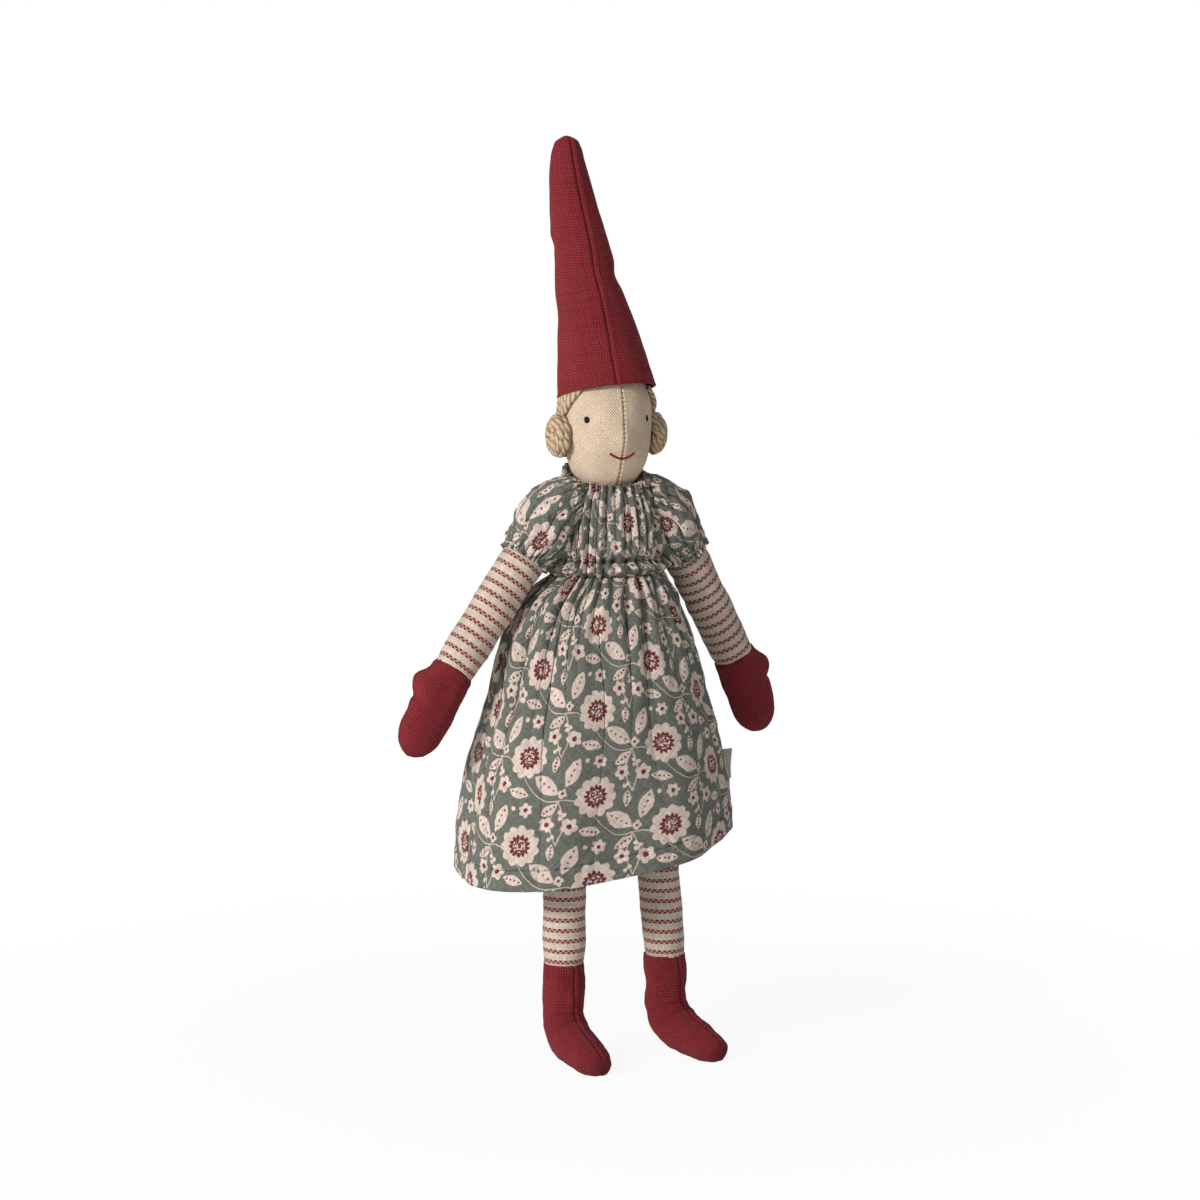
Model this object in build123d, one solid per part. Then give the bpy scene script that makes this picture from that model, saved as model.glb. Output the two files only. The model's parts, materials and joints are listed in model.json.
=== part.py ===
from build123d import *
import os
from math import atan, cos, degrees, radians, sin

# A soft gnome doll, sewn from cloth and stuffed. Millimetres, +Z up, facing -Y.
# It hangs upright with its toes at z = 0. "left" is the doll's own left, towards +X.
# Heights are first measured from the toes of the hanging doll, on the doll's own axis.
# At the end every piece moves together, so that the origin is the bottom centre of the box.

# --- Cloth -------------------------------------------------------------------------------
SKIN = 0.8            # thickness of the doll's cloth
DRESS = 0.8           # thickness of the dress's cloth, with its seam turnings
FILL_GAP = 0.15       # between the cloth and the stuffing behind it
SEAM_GAP = 0.1        # between two panels that meet at a seam
LOOSE_GAP = 0.3       # between pieces that move against each other

# --- Heights on the doll's axis ----------------------------------------------------------
BOOT_TOP_Z = 43.0
HEM_Z = 76.0
HIP_Z = 145.0
WAIST_Z = 191.0
SHOULDER_Z = 210.5
NECK_Z = 219.2
HEAD_Z = 221.4        # lowest point of the head
BRIM_Z = 261.0        # middle of the hat's rim
TIP_Z = 359.0

# --- Torso -------------------------------------------------------------------------------
TORSO_HIP = (24.3, 10.5)       # half width and half depth
TORSO_WAIST = (20.0, 12.5)
TORSO_SHOULDER = (16.2, 10.6)
NECK = (8.2, 7.6)
TORSO_EDGE = 1.6               # half thickness of the flat edge above the hip seam
HIP_SEAM_R = 2.6
HIP_SEAM_GAP = 0.4
NECK_STITCH = 1.45             # height of the ring of stitches under the head
NECK_STITCH_WIDE = 2.3

# --- Head, hair and face -----------------------------------------------------------------
HEAD_R = 17.5
HEAD_TOP_Z = 272.0
EYE = (0.95, 1.45)             # half width and half height
EYE_X = 12.6
EYE_Z = 250.0
MOUTH_HALF = 4.9
MOUTH_Z = 236.6                # ends of the mouth
MOUTH_DIP = 2.6
MOUTH_THREAD = 0.8
THREAD_PROUD = 0.45
HAIR = 2.1                     # thickness of the layer of yarn on the head
HAIR_FALL = 37.0               # degrees that the hair's lower edge drops towards the back
BUN = (5.6, 7.4, 8.0)          # half sizes of a bun
BUN_X = 20.2
BUN_Z = 243.0
NOD_Z = 224.0                  # the neck bends about this height

# --- Hat ---------------------------------------------------------------------------------
HAT_TILT = 15.0                # degrees, rim higher at the front
HAT_RIM_R = HEAD_R + 1.3
HAT_LEAN = (-13.0, 11.0)       # the tip stands this far to the doll's right and back

# --- Dress -------------------------------------------------------------------------------
DRESS_WAIST = (22.0, 14.5)
DRESS_SIDE = 19.0              # the dress's half width where the sleeves are set in
DRESS_DEPTH = 15.4             # its half depth there
COLLAR = (HEAD_R + 0.1, HEAD_R - 0.3)
COLLAR_Z = 229.5               # middle of the neckline
COLLAR_TILT = 14.0             # degrees, lower at the front
WAIST_BAND = 6.0               # height of the gathered band
SKIRT_HIP = (42.5, 30.0)
SKIRT_HEM = (55.5, 38.0)
HEM_OFF = (-4.0, 4.0)          # the hem's middle against the doll's axis
HEM_DROP = (0.075, 0.13)       # the hem rises towards +X and towards the back by this much
TAG = (4.4, 0.8, 12.0)
TAG_Z = 117.0

# --- Arms and sleeves --------------------------------------------------------------------
SHOULDER_X = DRESS_WAIST[0] + 3.8
ARM_R = 8.5
WRIST_R = 8.2
ARM = 66.0                     # shoulder to wrist
RAISED = {"left": 30.0, "right": 35.0}       # degrees out from hanging straight down
SWUNG_BACK = {"left": 12.0, "right": 0.0}    # degrees back from the side of the body
SHOULDER_STITCH_R = 4.5
ARMHOLE_R = 6.4
SLEEVE_R = 13.0
SLEEVE = 15.5                  # shoulder to the cuff's edge
CUFF_GAP = 0.5                 # between the arm and the cuff's elastic
ELASTIC = 0.6
ELASTIC_WIDE = 1.6
MITTEN = 36.0
MITTEN_HALF = (10.5, 6.8)
THUMB = (4.8, 4.4, 6.6)        # half sizes
THUMB_AT = (8.8, 9.5)          # out from the mitten's axis, and below the wrist

# --- Legs and boots ----------------------------------------------------------------------
HIP_X = 16.0
ANKLE_X = {"left": 24.5, "right": 18.0}
FOOT_TURN = {"left": 23.0, "right": 11.0}    # degrees that a foot points to the doll's left
LEG_R = 7.9
BOOT_R = LEG_R + 0.3
FOOT = 28.5                    # ankle axis to toe
FOOT_BELOW = 31.0              # the foot's axis is this far below the boot's top
SOLE_SLOPE = 14.0              # degrees, down towards the toe
TOE_HALF = (7.5, 6.7)

SIDES = {"left": 1, "right": -1}
BIG = 1200.0          # larger than the doll in every direction
parts = {}


def half_space(origin, normal):
    """A large box on the side of a plane that its normal points to."""
    return Plane(origin=origin, z_dir=normal) * Pos(0, 0, BIG / 2) * Box(BIG, BIG, BIG)


def ellipses(stations, grow=0.0):
    """Solid through level ellipses (z, half width, half depth, centre x, centre y)."""
    faces = []
    last = len(stations) - 1
    onwards = 1 if stations[-1][0] > stations[0][0] else -1
    for i, (z, half_x, half_y, x, y) in enumerate(stations):
        outwards = -onwards if i == 0 else onwards if i == last else 0
        faces.append(Pos(x, y, z + grow * outwards) * Ellipse(half_x + grow, half_y + grow))
    return loft(faces, ruled=True)


def turned(profile):
    """Solid of revolution about Z from (radius, z) points joined by a smooth curve."""
    low, high = profile[0], profile[-1]
    curve = Spline([(r, 0, z) for r, z in profile])
    base = Line((0, 0, low[1]), (low[0], 0, low[1]))
    top = Line((high[0], 0, high[1]), (0, 0, high[1]))
    axis = Line((0, 0, high[1]), (0, 0, low[1]))
    return Rot(0, 0, 45) * revolve(make_face(base + curve + top + axis), Axis.Z)


def egg(half, rings=10):
    """Closed egg-shaped solid round the origin, from its three half sizes."""
    stations = []
    for i in range(rings + 1):
        turn = radians(-80 + 160 * i / rings)
        stations.append((half[2] * sin(turn), half[0] * cos(turn), half[1] * cos(turn), 0, 0))
    return ellipses(stations)


def elliptic_ring(half, inner, z, height):
    """Level ring between two ellipses."""
    outer_face = Ellipse(*half) - Ellipse(*inner)
    return Pos(0, 0, z) * extrude(outer_face, height / 2, both=True)


def halves(shell, normal, origin=(0, 0, 0)):
    """The two panels of a shell that meet at a seam in one plane."""
    away = Vector(*normal).normalized() * (SEAM_GAP / 2)
    middle = Vector(*origin)
    first = shell & half_space(middle + away, Vector(*normal))
    second = shell & half_space(middle - away, -Vector(*normal))
    return first, second


# --- Torso -------------------------------------------------------------------------------
def torso_body(grow=0.0):
    """Pear-shaped bag: a flat edge at the hip seam, full hips, narrow shoulders, a short neck."""
    edge_z = HIP_Z + HIP_SEAM_R + HIP_SEAM_GAP
    return ellipses([
        (edge_z, TORSO_HIP[0], TORSO_EDGE, 0, 0),
        (edge_z + 5, TORSO_HIP[0], TORSO_HIP[1] * 0.6, 0, 0),
        (edge_z + 13, TORSO_HIP[0], TORSO_HIP[1], 0, 0),
        (edge_z + 26, TORSO_HIP[0] - 1.2, TORSO_WAIST[1], 0, 0),
        (WAIST_Z, *TORSO_WAIST, 0, 0),
        (WAIST_Z + WAIST_BAND - 3, TORSO_WAIST[0] - 0.4, TORSO_WAIST[1], 0, 0),
        (WAIST_Z + WAIST_BAND + 1, TORSO_SHOULDER[0] + 1.4, TORSO_WAIST[1] - 0.3, 0, 0),
        (SHOULDER_Z - 7, *TORSO_SHOULDER, 0, 0),
        (SHOULDER_Z + 3, TORSO_SHOULDER[0] - 0.5, TORSO_SHOULDER[1] - 0.7, 0, 0),
        (NECK_Z - 2, NECK[0] + 3, NECK[1] + 1, 0, 0),
        (NECK_Z, *NECK, 0, 0),
    ], grow)


def make_torso():
    shell = torso_body() - torso_body(-SKIN)
    parts["torso_front"], parts["torso_back"] = halves(shell, (0, -1, 0))
    parts["torso_stuffing"] = torso_body(-SKIN - FILL_GAP)
    parts["hip_seam"] = Pos(0, 0, HIP_Z) * Rot(0, 90, 0) * Cylinder(HIP_SEAM_R, 2 * TORSO_HIP[0])
    ring_z = NECK_Z + FILL_GAP + NECK_STITCH / 2
    outer = (NECK[0] - 3, NECK[1] - 3)
    inner = (outer[0] - NECK_STITCH_WIDE, outer[1] - NECK_STITCH_WIDE)
    parts["neck_stitch"] = elliptic_ring(outer, inner, ring_z, NECK_STITCH)


# --- Head --------------------------------------------------------------------------------
def head_body(grow=0.0):
    """Egg-shaped head, round in plan, narrow at the chin and flattened under the hat."""
    return turned([
        (3.0 + grow, HEAD_Z - grow),
        (6.6 + grow, HEAD_Z + 1.2 - grow * 0.8),
        (HEAD_R * 0.57 + grow, HEAD_Z + 4.2 - grow * 0.5),
        (HEAD_R * 0.74 + grow, HEAD_Z + 8.3 - grow * 0.3),
        (HEAD_R * 0.86 + grow, HEAD_Z + 13.5),
        (HEAD_R * 0.97 + grow, HEAD_Z + 22),
        (HEAD_R + grow, HEAD_Z + 31),
        (HEAD_R * 0.92 + grow, HEAD_Z + 40 + grow * 0.3),
        (HEAD_R * 0.72 + grow, HEAD_TOP_Z - 4.5 + grow * 0.6),
        (HEAD_R * 0.44 + grow, HEAD_TOP_Z - 1.2 + grow * 0.9),
        (2.0 + grow, HEAD_TOP_Z + grow),
    ])


def make_head():
    shell = head_body() - head_body(-SKIN)
    parts["head_left"], parts["head_right"] = halves(shell, (1, 0, 0))
    parts["head_stuffing"] = head_body(-SKIN - FILL_GAP)


def make_face_stitches():
    """Eyes and mouth: flat satin stitches that lie on the face."""
    skin_front = head_body(THREAD_PROUD) - head_body(SEAM_GAP / 2)
    front = half_space((0, -HEAD_R / 2, 0), Vector(0, -1, 0))
    face = Plane(origin=(0, 0, 0), x_dir=(1, 0, 0), z_dir=(0, -1, 0))
    for side, sign in SIDES.items():
        oval = face * Pos(sign * EYE_X, EYE_Z) * Ellipse(*EYE)
        parts[f"eye_{side}"] = skin_front & front & extrude(oval, 2 * HEAD_R)
    smile = ThreePointArc(
        (-MOUTH_HALF, MOUTH_Z), (0, MOUTH_Z - MOUTH_DIP), (MOUTH_HALF, MOUTH_Z)
    )
    band = face * trace(smile, MOUTH_THREAD)
    parts["mouth_stitch"] = skin_front & front & extrude(band, 2 * HEAD_R)


def hat_tilt_normal():
    """Normal of the plane of the hat's rim, pointing up."""
    return Vector(0, sin(radians(HAT_TILT)), cos(radians(HAT_TILT)))


def make_hair():
    """A layer of yarn round the sides and back of the head, and a coiled bun at each side."""
    layer = head_body(HAIR + SEAM_GAP) - head_body(SEAM_GAP)
    under_hat = half_space((0, 0, BRIM_Z - SEAM_GAP), -hat_tilt_normal())
    fall = radians(HAIR_FALL)
    rim_front = HAT_RIM_R * sin(radians(HAT_TILT))
    edge = half_space((0, -HAT_RIM_R, BRIM_Z + rim_front), Vector(0, sin(fall), cos(fall)))
    parts["hair"] = layer & under_hat & edge
    for side, sign in SIDES.items():
        parts[f"bun_{side}"] = Pos(sign * BUN_X, 0, BUN_Z) * egg(BUN) - head_body(HAIR + 2 * SEAM_GAP)


# --- Hat ---------------------------------------------------------------------------------
def hat_body(grow=0.0):
    """Tall stuffed cone, leaning and slightly bent at two thirds of its height."""
    height = TIP_Z - BRIM_Z
    stations = [
        (0.00, 1.000, 0.00, 1.0),
        (0.17, 0.873, 0.13, 0.8),
        (0.34, 0.700, 0.30, 0.7),
        (0.46, 0.610, 0.46, 0.6),
        (0.57, 0.575, 0.57, 0.5),
        (0.74, 0.470, 0.80, 0.5),
        (0.92, 0.330, 0.96, 0.5),
        (0.98, 0.190, 1.00, 0.5),
        (1.00, 0.050, 1.00, 0.5),
    ]
    faces = []
    last = len(stations) - 1
    for i, (up, size, lean, tilt) in enumerate(stations):
        angle = radians(HAT_TILT * tilt)
        normal = (0, sin(angle), cos(angle))
        end = (grow, grow / 2, 0)[min(last - i, 2)]
        if i == 0:
            end = grow
        middle = (HAT_LEAN[0] * lean, HAT_LEAN[1] * lean, BRIM_Z + height * up + end)
        plane = Plane(origin=middle, x_dir=(1, 0, 0), z_dir=normal)
        radius = HAT_RIM_R * size + grow
        faces.append(plane * Circle(max(radius, 0.4)))
    return loft(faces, ruled=True)


def make_hat():
    shell = hat_body() - hat_body(-SKIN)
    lean = atan(HAT_LEAN[0] / (TIP_Z - BRIM_Z))
    normal = (cos(lean), 0, -sin(lean))
    parts["hat_left"], parts["hat_right"] = halves(shell, normal, (0, 0, BRIM_Z))
    fill = hat_body(-SKIN - FILL_GAP) - head_body(FILL_GAP)
    above_rim = half_space((0, 0, HEAD_TOP_Z + 0.3), Vector(0, 0, 1))
    parts["hat_stuffing"] = fill & above_rim


# --- Dress -------------------------------------------------------------------------------
def bodice_body(grow=0.0):
    """Upper part of the dress, from the waist band to above the neckline."""
    return ellipses([
        (WAIST_Z, *DRESS_WAIST, 0, 0),
        (WAIST_Z + WAIST_BAND - 1.5, *DRESS_WAIST, 0, 0),
        (WAIST_Z + WAIST_BAND + 0.3, DRESS_SIDE, DRESS_DEPTH, 0, 0),
        (SHOULDER_Z + 7, DRESS_SIDE, DRESS_DEPTH, 0, 0),
        (SHOULDER_Z + 13, DRESS_SIDE - 0.5, DRESS_DEPTH + 1, 0, 0.6),
        (COLLAR_Z, *COLLAR, 0, 1.5),
        (COLLAR_Z + 9, COLLAR[0] - 0.4, COLLAR[1] - 0.3, 0, 1.8),
    ], grow)


def collar_normal():
    return Vector(0, -sin(radians(COLLAR_TILT)), cos(radians(COLLAR_TILT)))


def make_bodice():
    """Front and back of the dress above the waist, with a round armhole at each side."""
    open_inside = bodice_body(-DRESS) + Pos(0, 0, WAIST_Z) * extrude(
        Ellipse(DRESS_WAIST[0] - DRESS, DRESS_WAIST[1] - DRESS), 2 * DRESS, both=True
    )
    shell = bodice_body() - open_inside
    shell = shell & half_space((0, 0, COLLAR_Z), -collar_normal())
    armholes = Pos(0, 0, SHOULDER_Z) * Rot(0, 90, 0) * Cylinder(ARMHOLE_R, BIG)
    shell = shell - armholes
    parts["bodice_front"], parts["bodice_back"] = halves(shell, (0, -1, 0))


def make_elastics():
    """Elastic threads behind the gathers of the waist and the neckline."""
    outer = [half - DRESS - 0.3 for half in DRESS_WAIST]
    inner = [half - ELASTIC for half in outer]
    rows = [
        elliptic_ring(outer, inner, WAIST_Z + 1.2, ELASTIC_WIDE / 2),
        elliptic_ring(outer, inner, WAIST_Z + 2.9, ELASTIC_WIDE / 2),
    ]
    parts["waist_elastic"] = Compound(children=[row.solid() for row in rows])
    half_x = COLLAR[0] - DRESS - 0.5
    half_y = COLLAR[1] - DRESS - 0.5
    ring = Ellipse(half_x, half_y) - Ellipse(half_x - ELASTIC, half_y - ELASTIC)
    lay = Pos(0, 1.55, COLLAR_Z) * Rot(COLLAR_TILT, 0, 0)
    below_edge = Pos(0, 0, -1.6 * ELASTIC_WIDE)
    parts["neck_elastic"] = lay * below_edge * extrude(ring, ELASTIC_WIDE / 2, both=True)


def skirt_body(grow=0.0):
    """A-line skirt, hanging fuller to the doll's right and back."""
    top = WAIST_Z - SEAM_GAP
    hip = HIP_Z
    low = HEM_Z - 12
    return ellipses([
        (top, DRESS_WAIST[0] + 0.2, DRESS_WAIST[1] + 0.1, 0, 0),
        (top - 5, DRESS_WAIST[0] + 4, DRESS_WAIST[1] + 3.5, -0.4, 0.4),
        (top - 18, SKIRT_HIP[0] - 7.5, SKIRT_HIP[1] - 6, -1.2, 1.2),
        (hip, *SKIRT_HIP, -2.0, 2.0),
        (hip - 33, SKIRT_HEM[0] - 4.5, SKIRT_HEM[1] - 3, -3.2, 3.2),
        (low, *SKIRT_HEM, *HEM_OFF),
    ], grow)


def make_skirt():
    """Front and back panels of the skirt, with side seams and a slanting hem."""
    inside = skirt_body(-DRESS)
    mouths = Pos(0, 0, WAIST_Z) * extrude(
        Ellipse(DRESS_WAIST[0] - DRESS, DRESS_WAIST[1] - DRESS), 3 * DRESS, both=True
    )
    shell = skirt_body() - inside - mouths
    hem_up = Vector(-HEM_DROP[0], -HEM_DROP[1], 1)
    shell = shell & half_space((0, 0, HEM_Z), hem_up)
    parts["skirt_front"], parts["skirt_back"] = halves(shell, (0, -1, 0), (0, 2.0, 0))


def make_tag():
    """A blank woven label in the left side seam of the skirt."""
    share = (HIP_Z - TAG_Z) / 33
    seam_x = SKIRT_HIP[0] - 2.0 + share * (SKIRT_HEM[0] - 4.5 - SKIRT_HIP[0] - 1.2)
    middle = seam_x + 1.2 + TAG[0] / 2
    parts["dress_tag"] = Pos(middle, 2.0, TAG_Z) * Box(*TAG)


# --- Arms --------------------------------------------------------------------------------
def rounded_tube(top_r, low_r, length):
    """Solid of revolution hanging from the origin: a ball end, then a slight taper."""
    arc = ThreePointArc(
        (0, 0, top_r), (top_r * sin(radians(45)), 0, top_r * cos(radians(45))), (top_r, 0, 0)
    )
    side = Line((top_r, 0, 0), (low_r, 0, -length))
    end = Line((low_r, 0, -length), (0, 0, -length))
    axis = Line((0, 0, -length), (0, 0, top_r))
    return revolve(make_face(arc + side + end + axis), Axis.Z)


def mitten_body(grow=0.0, root=0.0):
    """Flat mitten hanging from the wrist, with the thumb on its +X side."""
    top = -ARM + root - grow
    lobe = ellipses([
        (top, WRIST_R, WRIST_R, 0, 0),
        (-ARM - 3, WRIST_R, WRIST_R, 0, 0),
        (-ARM - 9, WRIST_R + 0.8, WRIST_R - 1.0, 0, 0),
        (-ARM - 15, MITTEN_HALF[0] - 0.4, MITTEN_HALF[1] + 0.1, 0, 0),
        (-ARM - 21, *MITTEN_HALF, 0, 0),
        (-ARM - 28, MITTEN_HALF[0] - 1.1, MITTEN_HALF[1] - 0.6, 0, 0),
        (-ARM - MITTEN + 3, MITTEN_HALF[0] * 0.64, MITTEN_HALF[1] * 0.64, 0, 0),
        (-ARM - MITTEN, 2.4, 1.8, 0, 0),
    ], grow)
    half = tuple(size + grow for size in THUMB)
    thumb = Pos(THUMB_AT[0], 0, -ARM - THUMB_AT[1]) * egg(half)
    return lobe + thumb


def sleeve_body(side):
    """Puff sleeve: a ball-shaped puff about the shoulder, set in along X, that closes to a cuff."""
    cuff_out = ARM_R + CUFF_GAP + ELASTIC + DRESS
    solids = []
    for puff, cuff in ((SLEEVE_R, cuff_out), (SLEEVE_R - DRESS, cuff_out - DRESS)):
        ball = Pos(SIDES[side] * SHOULDER_X, 0, SHOULDER_Z) * Rot(0, 90, 0) * Sphere(puff)
        tube = Pos(0, 0, -SLEEVE / 2 - CUFF_GAP) * Cone(cuff, cuff + 0.6, SLEEVE - 2 * CUFF_GAP)
        solids.append(ball + hang(side) * tube)
    bore = Pos(0, 0, -SLEEVE) * Cylinder(cuff_out - DRESS, SLEEVE)
    return solids[0] - solids[1] - hang(side) * bore


def hang(side):
    """Where a piece made round a straight hanging arm goes: raised outwards, then swung back."""
    sign = SIDES[side]
    at_shoulder = Pos(sign * SHOULDER_X, 0, SHOULDER_Z)
    return at_shoulder * Rot(SWUNG_BACK[side], 0, 0) * Rot(0, -sign * RAISED[side], 0)


def make_arm(side):
    sign = SIDES[side]
    place = hang(side)
    outwards = Rot(0, 0, 90 - 90 * sign)      # turns the thumb away from the body
    skin = rounded_tube(ARM_R, WRIST_R, ARM)
    hollow = rounded_tube(ARM_R - SKIN, WRIST_R - SKIN, ARM)
    fill = rounded_tube(ARM_R - SKIN - FILL_GAP, WRIST_R - SKIN - FILL_GAP, ARM + 1)
    parts[f"arm_skin_{side}"] = place * (skin - hollow)
    mitten = mitten_body(0, -SEAM_GAP) - mitten_body(-SKIN, SKIN)
    front, back = halves(mitten, (0, -1, 0))
    if sign < 0:
        front, back = back, front
    parts[f"mitten_front_{side}"] = place * outwards * front
    parts[f"mitten_back_{side}"] = place * outwards * back
    hand_fill = mitten_body(-SKIN - 2 * FILL_GAP)
    parts[f"arm_stuffing_{side}"] = place * (fill + outwards * hand_fill)


def make_shoulder(side):
    """What joins an arm to the torso: its ring of stitches, its sleeve and the sleeve's elastic."""
    sign = SIDES[side]
    place = hang(side)
    room = SHOULDER_X - ARM_R - TORSO_SHOULDER[0]
    pad = Rot(0, 90, 0) * Cylinder(SHOULDER_STITCH_R, room - 2 * FILL_GAP - 0.1)
    pad_x = TORSO_SHOULDER[0] + room / 2
    parts[f"shoulder_stitch_{side}"] = Pos(sign * pad_x, 0, SHOULDER_Z) * pad
    root = half_space((sign * (DRESS_SIDE + LOOSE_GAP), 0, 0), Vector(sign, 0, 0))
    parts[f"sleeve_{side}"] = sleeve_body(side) & root
    inner = ARM_R + CUFF_GAP / 2
    band = elliptic_ring((inner + ELASTIC,) * 2, (inner,) * 2, -SLEEVE + ELASTIC_WIDE, ELASTIC_WIDE)
    parts[f"sleeve_elastic_{side}"] = place * band


# --- Legs --------------------------------------------------------------------------------
def leg_splay(side):
    """Degrees that a leg leans outwards from the hip to the ankle."""
    return degrees(atan((ANKLE_X[side] - HIP_X) / (HIP_Z - BOOT_TOP_Z)))


def leg_body(side, grow=0.0, low=0.0):
    """Straight leg below the hip seam: a flat top edge that rounds into a tube."""
    splay = radians(leg_splay(side))
    edge = -HIP_SEAM_R - HIP_SEAM_GAP - (LEG_R + 0.5) * sin(splay)
    length = (HIP_Z - BOOT_TOP_Z) / cos(splay) - LEG_R * sin(splay)
    return ellipses([
        (-length - low + grow, LEG_R, LEG_R, 0, 0),
        (-length * 0.5, LEG_R, LEG_R, 0, 0),
        (-14.0, LEG_R, LEG_R, 0, 0),
        (-8.0, LEG_R + 0.3, LEG_R * 0.6, 0, 0),
        (edge, LEG_R + 0.5, TORSO_EDGE, 0, 0),
    ], grow)


def boot_body(grow=0.0, up=0.0):
    """Soft boot below an ankle at the origin: a round shaft on a foot that droops at the toe."""
    shaft = ellipses([
        (-FOOT_BELOW - 2, BOOT_R - 0.6, BOOT_R - 1.0, 0, 0),
        (-FOOT_BELOW / 2, BOOT_R - 0.2, BOOT_R - 0.1, 0, 0.3),
        (up - grow, BOOT_R, BOOT_R, 0, 0),
    ], grow)
    foot = ellipses([
        (-BOOT_R - 0.8, 2.6, 2.6, 0, 0.5),
        (-BOOT_R + 1.7, BOOT_R - 1.5, BOOT_R - 1.5, 0, 0.3),
        (0, BOOT_R, BOOT_R, 0, 0),
        (FOOT * 0.35, BOOT_R - 0.1, BOOT_R - 0.4, 0, -0.2),
        (FOOT * 0.7, *TOE_HALF, 0, -1.2),
        (FOOT - 2.5, TOE_HALF[0] * 0.67, TOE_HALF[1] * 0.67, 0, -2.4),
        (FOOT, 1.6, 1.5, 0, -2.8),
    ], grow)
    return shaft + Pos(0, 0, -FOOT_BELOW) * Rot(90 + SOLE_SLOPE, 0, 0) * foot


def make_leg(side):
    sign = SIDES[side]
    hip = Pos(sign * HIP_X, 0, HIP_Z) * Rot(0, -sign * leg_splay(side), 0)
    ankle = Pos(sign * ANKLE_X[side], 0, BOOT_TOP_Z) * Rot(0, 0, FOOT_TURN[side])
    bore = leg_body(side, -SKIN, 2 * SKIN)
    parts[f"leg_skin_{side}"] = hip * (leg_body(side) - bore)
    boot = boot_body(0, -SEAM_GAP * 3) - boot_body(-SKIN, SKIN)
    inner, outer = halves(boot, (-sign, 0, 0))
    parts[f"boot_inner_{side}"] = ankle * inner
    parts[f"boot_outer_{side}"] = ankle * outer
    leg_fill = hip * leg_body(side, -SKIN - FILL_GAP, 3 * SKIN)
    parts[f"leg_stuffing_{side}"] = leg_fill + ankle * boot_body(-SKIN - FILL_GAP, -SKIN)


def make_all():
    make_torso()
    make_head()
    make_face_stitches()
    make_hair()
    make_hat()
    make_bodice()
    make_elastics()
    make_skirt()
    make_tag()
    for side in SIDES:
        make_arm(side)
        make_shoulder(side)
        make_leg(side)


def to_origin():
    """Move from the doll's own axis to the bottom centre of the whole doll's box."""
    box = Compound(children=[Compound(p.solids()) for p in parts.values()]).bounding_box()
    return Pos(-(box.min.X + box.max.X) / 2, -(box.min.Y + box.max.Y) / 2, -box.min.Z)


make_all()
shift = to_origin()
os.makedirs("parts", exist_ok=True)
for name, shape in parts.items():
    solids = (shift * Compound(shape.solids())).solids()
    export_step(solids[0] if len(solids) == 1 else Compound(solids), f"parts/{name}.step")
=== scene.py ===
"""Soft gnome doll: the cloth, yarn and stitches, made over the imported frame."""
import json

import bpy
import numpy as np
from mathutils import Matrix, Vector


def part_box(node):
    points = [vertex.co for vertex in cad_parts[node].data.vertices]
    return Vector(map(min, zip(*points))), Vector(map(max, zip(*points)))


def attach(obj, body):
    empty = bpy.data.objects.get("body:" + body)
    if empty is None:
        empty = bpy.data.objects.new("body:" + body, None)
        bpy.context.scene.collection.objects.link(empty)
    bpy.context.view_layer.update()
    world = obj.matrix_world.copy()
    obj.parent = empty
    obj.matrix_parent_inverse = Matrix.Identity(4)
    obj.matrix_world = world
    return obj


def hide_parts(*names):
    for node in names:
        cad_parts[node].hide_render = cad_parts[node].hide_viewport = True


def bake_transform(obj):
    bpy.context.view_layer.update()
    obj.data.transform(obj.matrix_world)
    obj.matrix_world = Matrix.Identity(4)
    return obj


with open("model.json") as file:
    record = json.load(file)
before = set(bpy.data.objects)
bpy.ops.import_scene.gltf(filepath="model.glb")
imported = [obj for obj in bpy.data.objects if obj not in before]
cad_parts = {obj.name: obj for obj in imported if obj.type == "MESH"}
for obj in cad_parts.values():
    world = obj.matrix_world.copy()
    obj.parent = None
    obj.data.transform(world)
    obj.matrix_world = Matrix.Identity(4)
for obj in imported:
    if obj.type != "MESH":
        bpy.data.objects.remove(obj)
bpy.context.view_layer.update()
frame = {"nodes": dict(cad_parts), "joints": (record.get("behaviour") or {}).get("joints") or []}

PI = np.pi
SIDES = {"left": 1, "right": -1}      # the doll's own sides; its left is towards +X
FRONT = -PI / 2                       # angle of the doll's front, about its axis


# --- Places in the frame, in mm on the doll's own axis ------------------------------------
def corners(*nodes):
    """Lowest and highest corner round several nodes, in metres."""
    boxes = [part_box(node) for node in nodes]
    low = np.min([np.array(box[0]) for box in boxes], axis=0)
    high = np.max([np.array(box[1]) for box in boxes], axis=0)
    return low, high


HIP_Z = 145.0                         # height of the hip seam above the toes
hip_low, hip_high = corners("hip_seam")
ROOT = (hip_low + hip_high) / 2 - np.array([0, 0, HIP_Z / 1000])


def own(point):
    """From metres in the row frame to mm on the doll's axis."""
    return (np.array(point) - ROOT) * 1000


def placed(point):
    """From mm on the doll's axis to metres in the row frame."""
    return tuple(point / 1000 + ROOT)


def extent(*nodes):
    """Lowest and highest corner round several nodes, in mm on the doll's axis."""
    low, high = corners(*nodes)
    return own(low), own(high)


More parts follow.
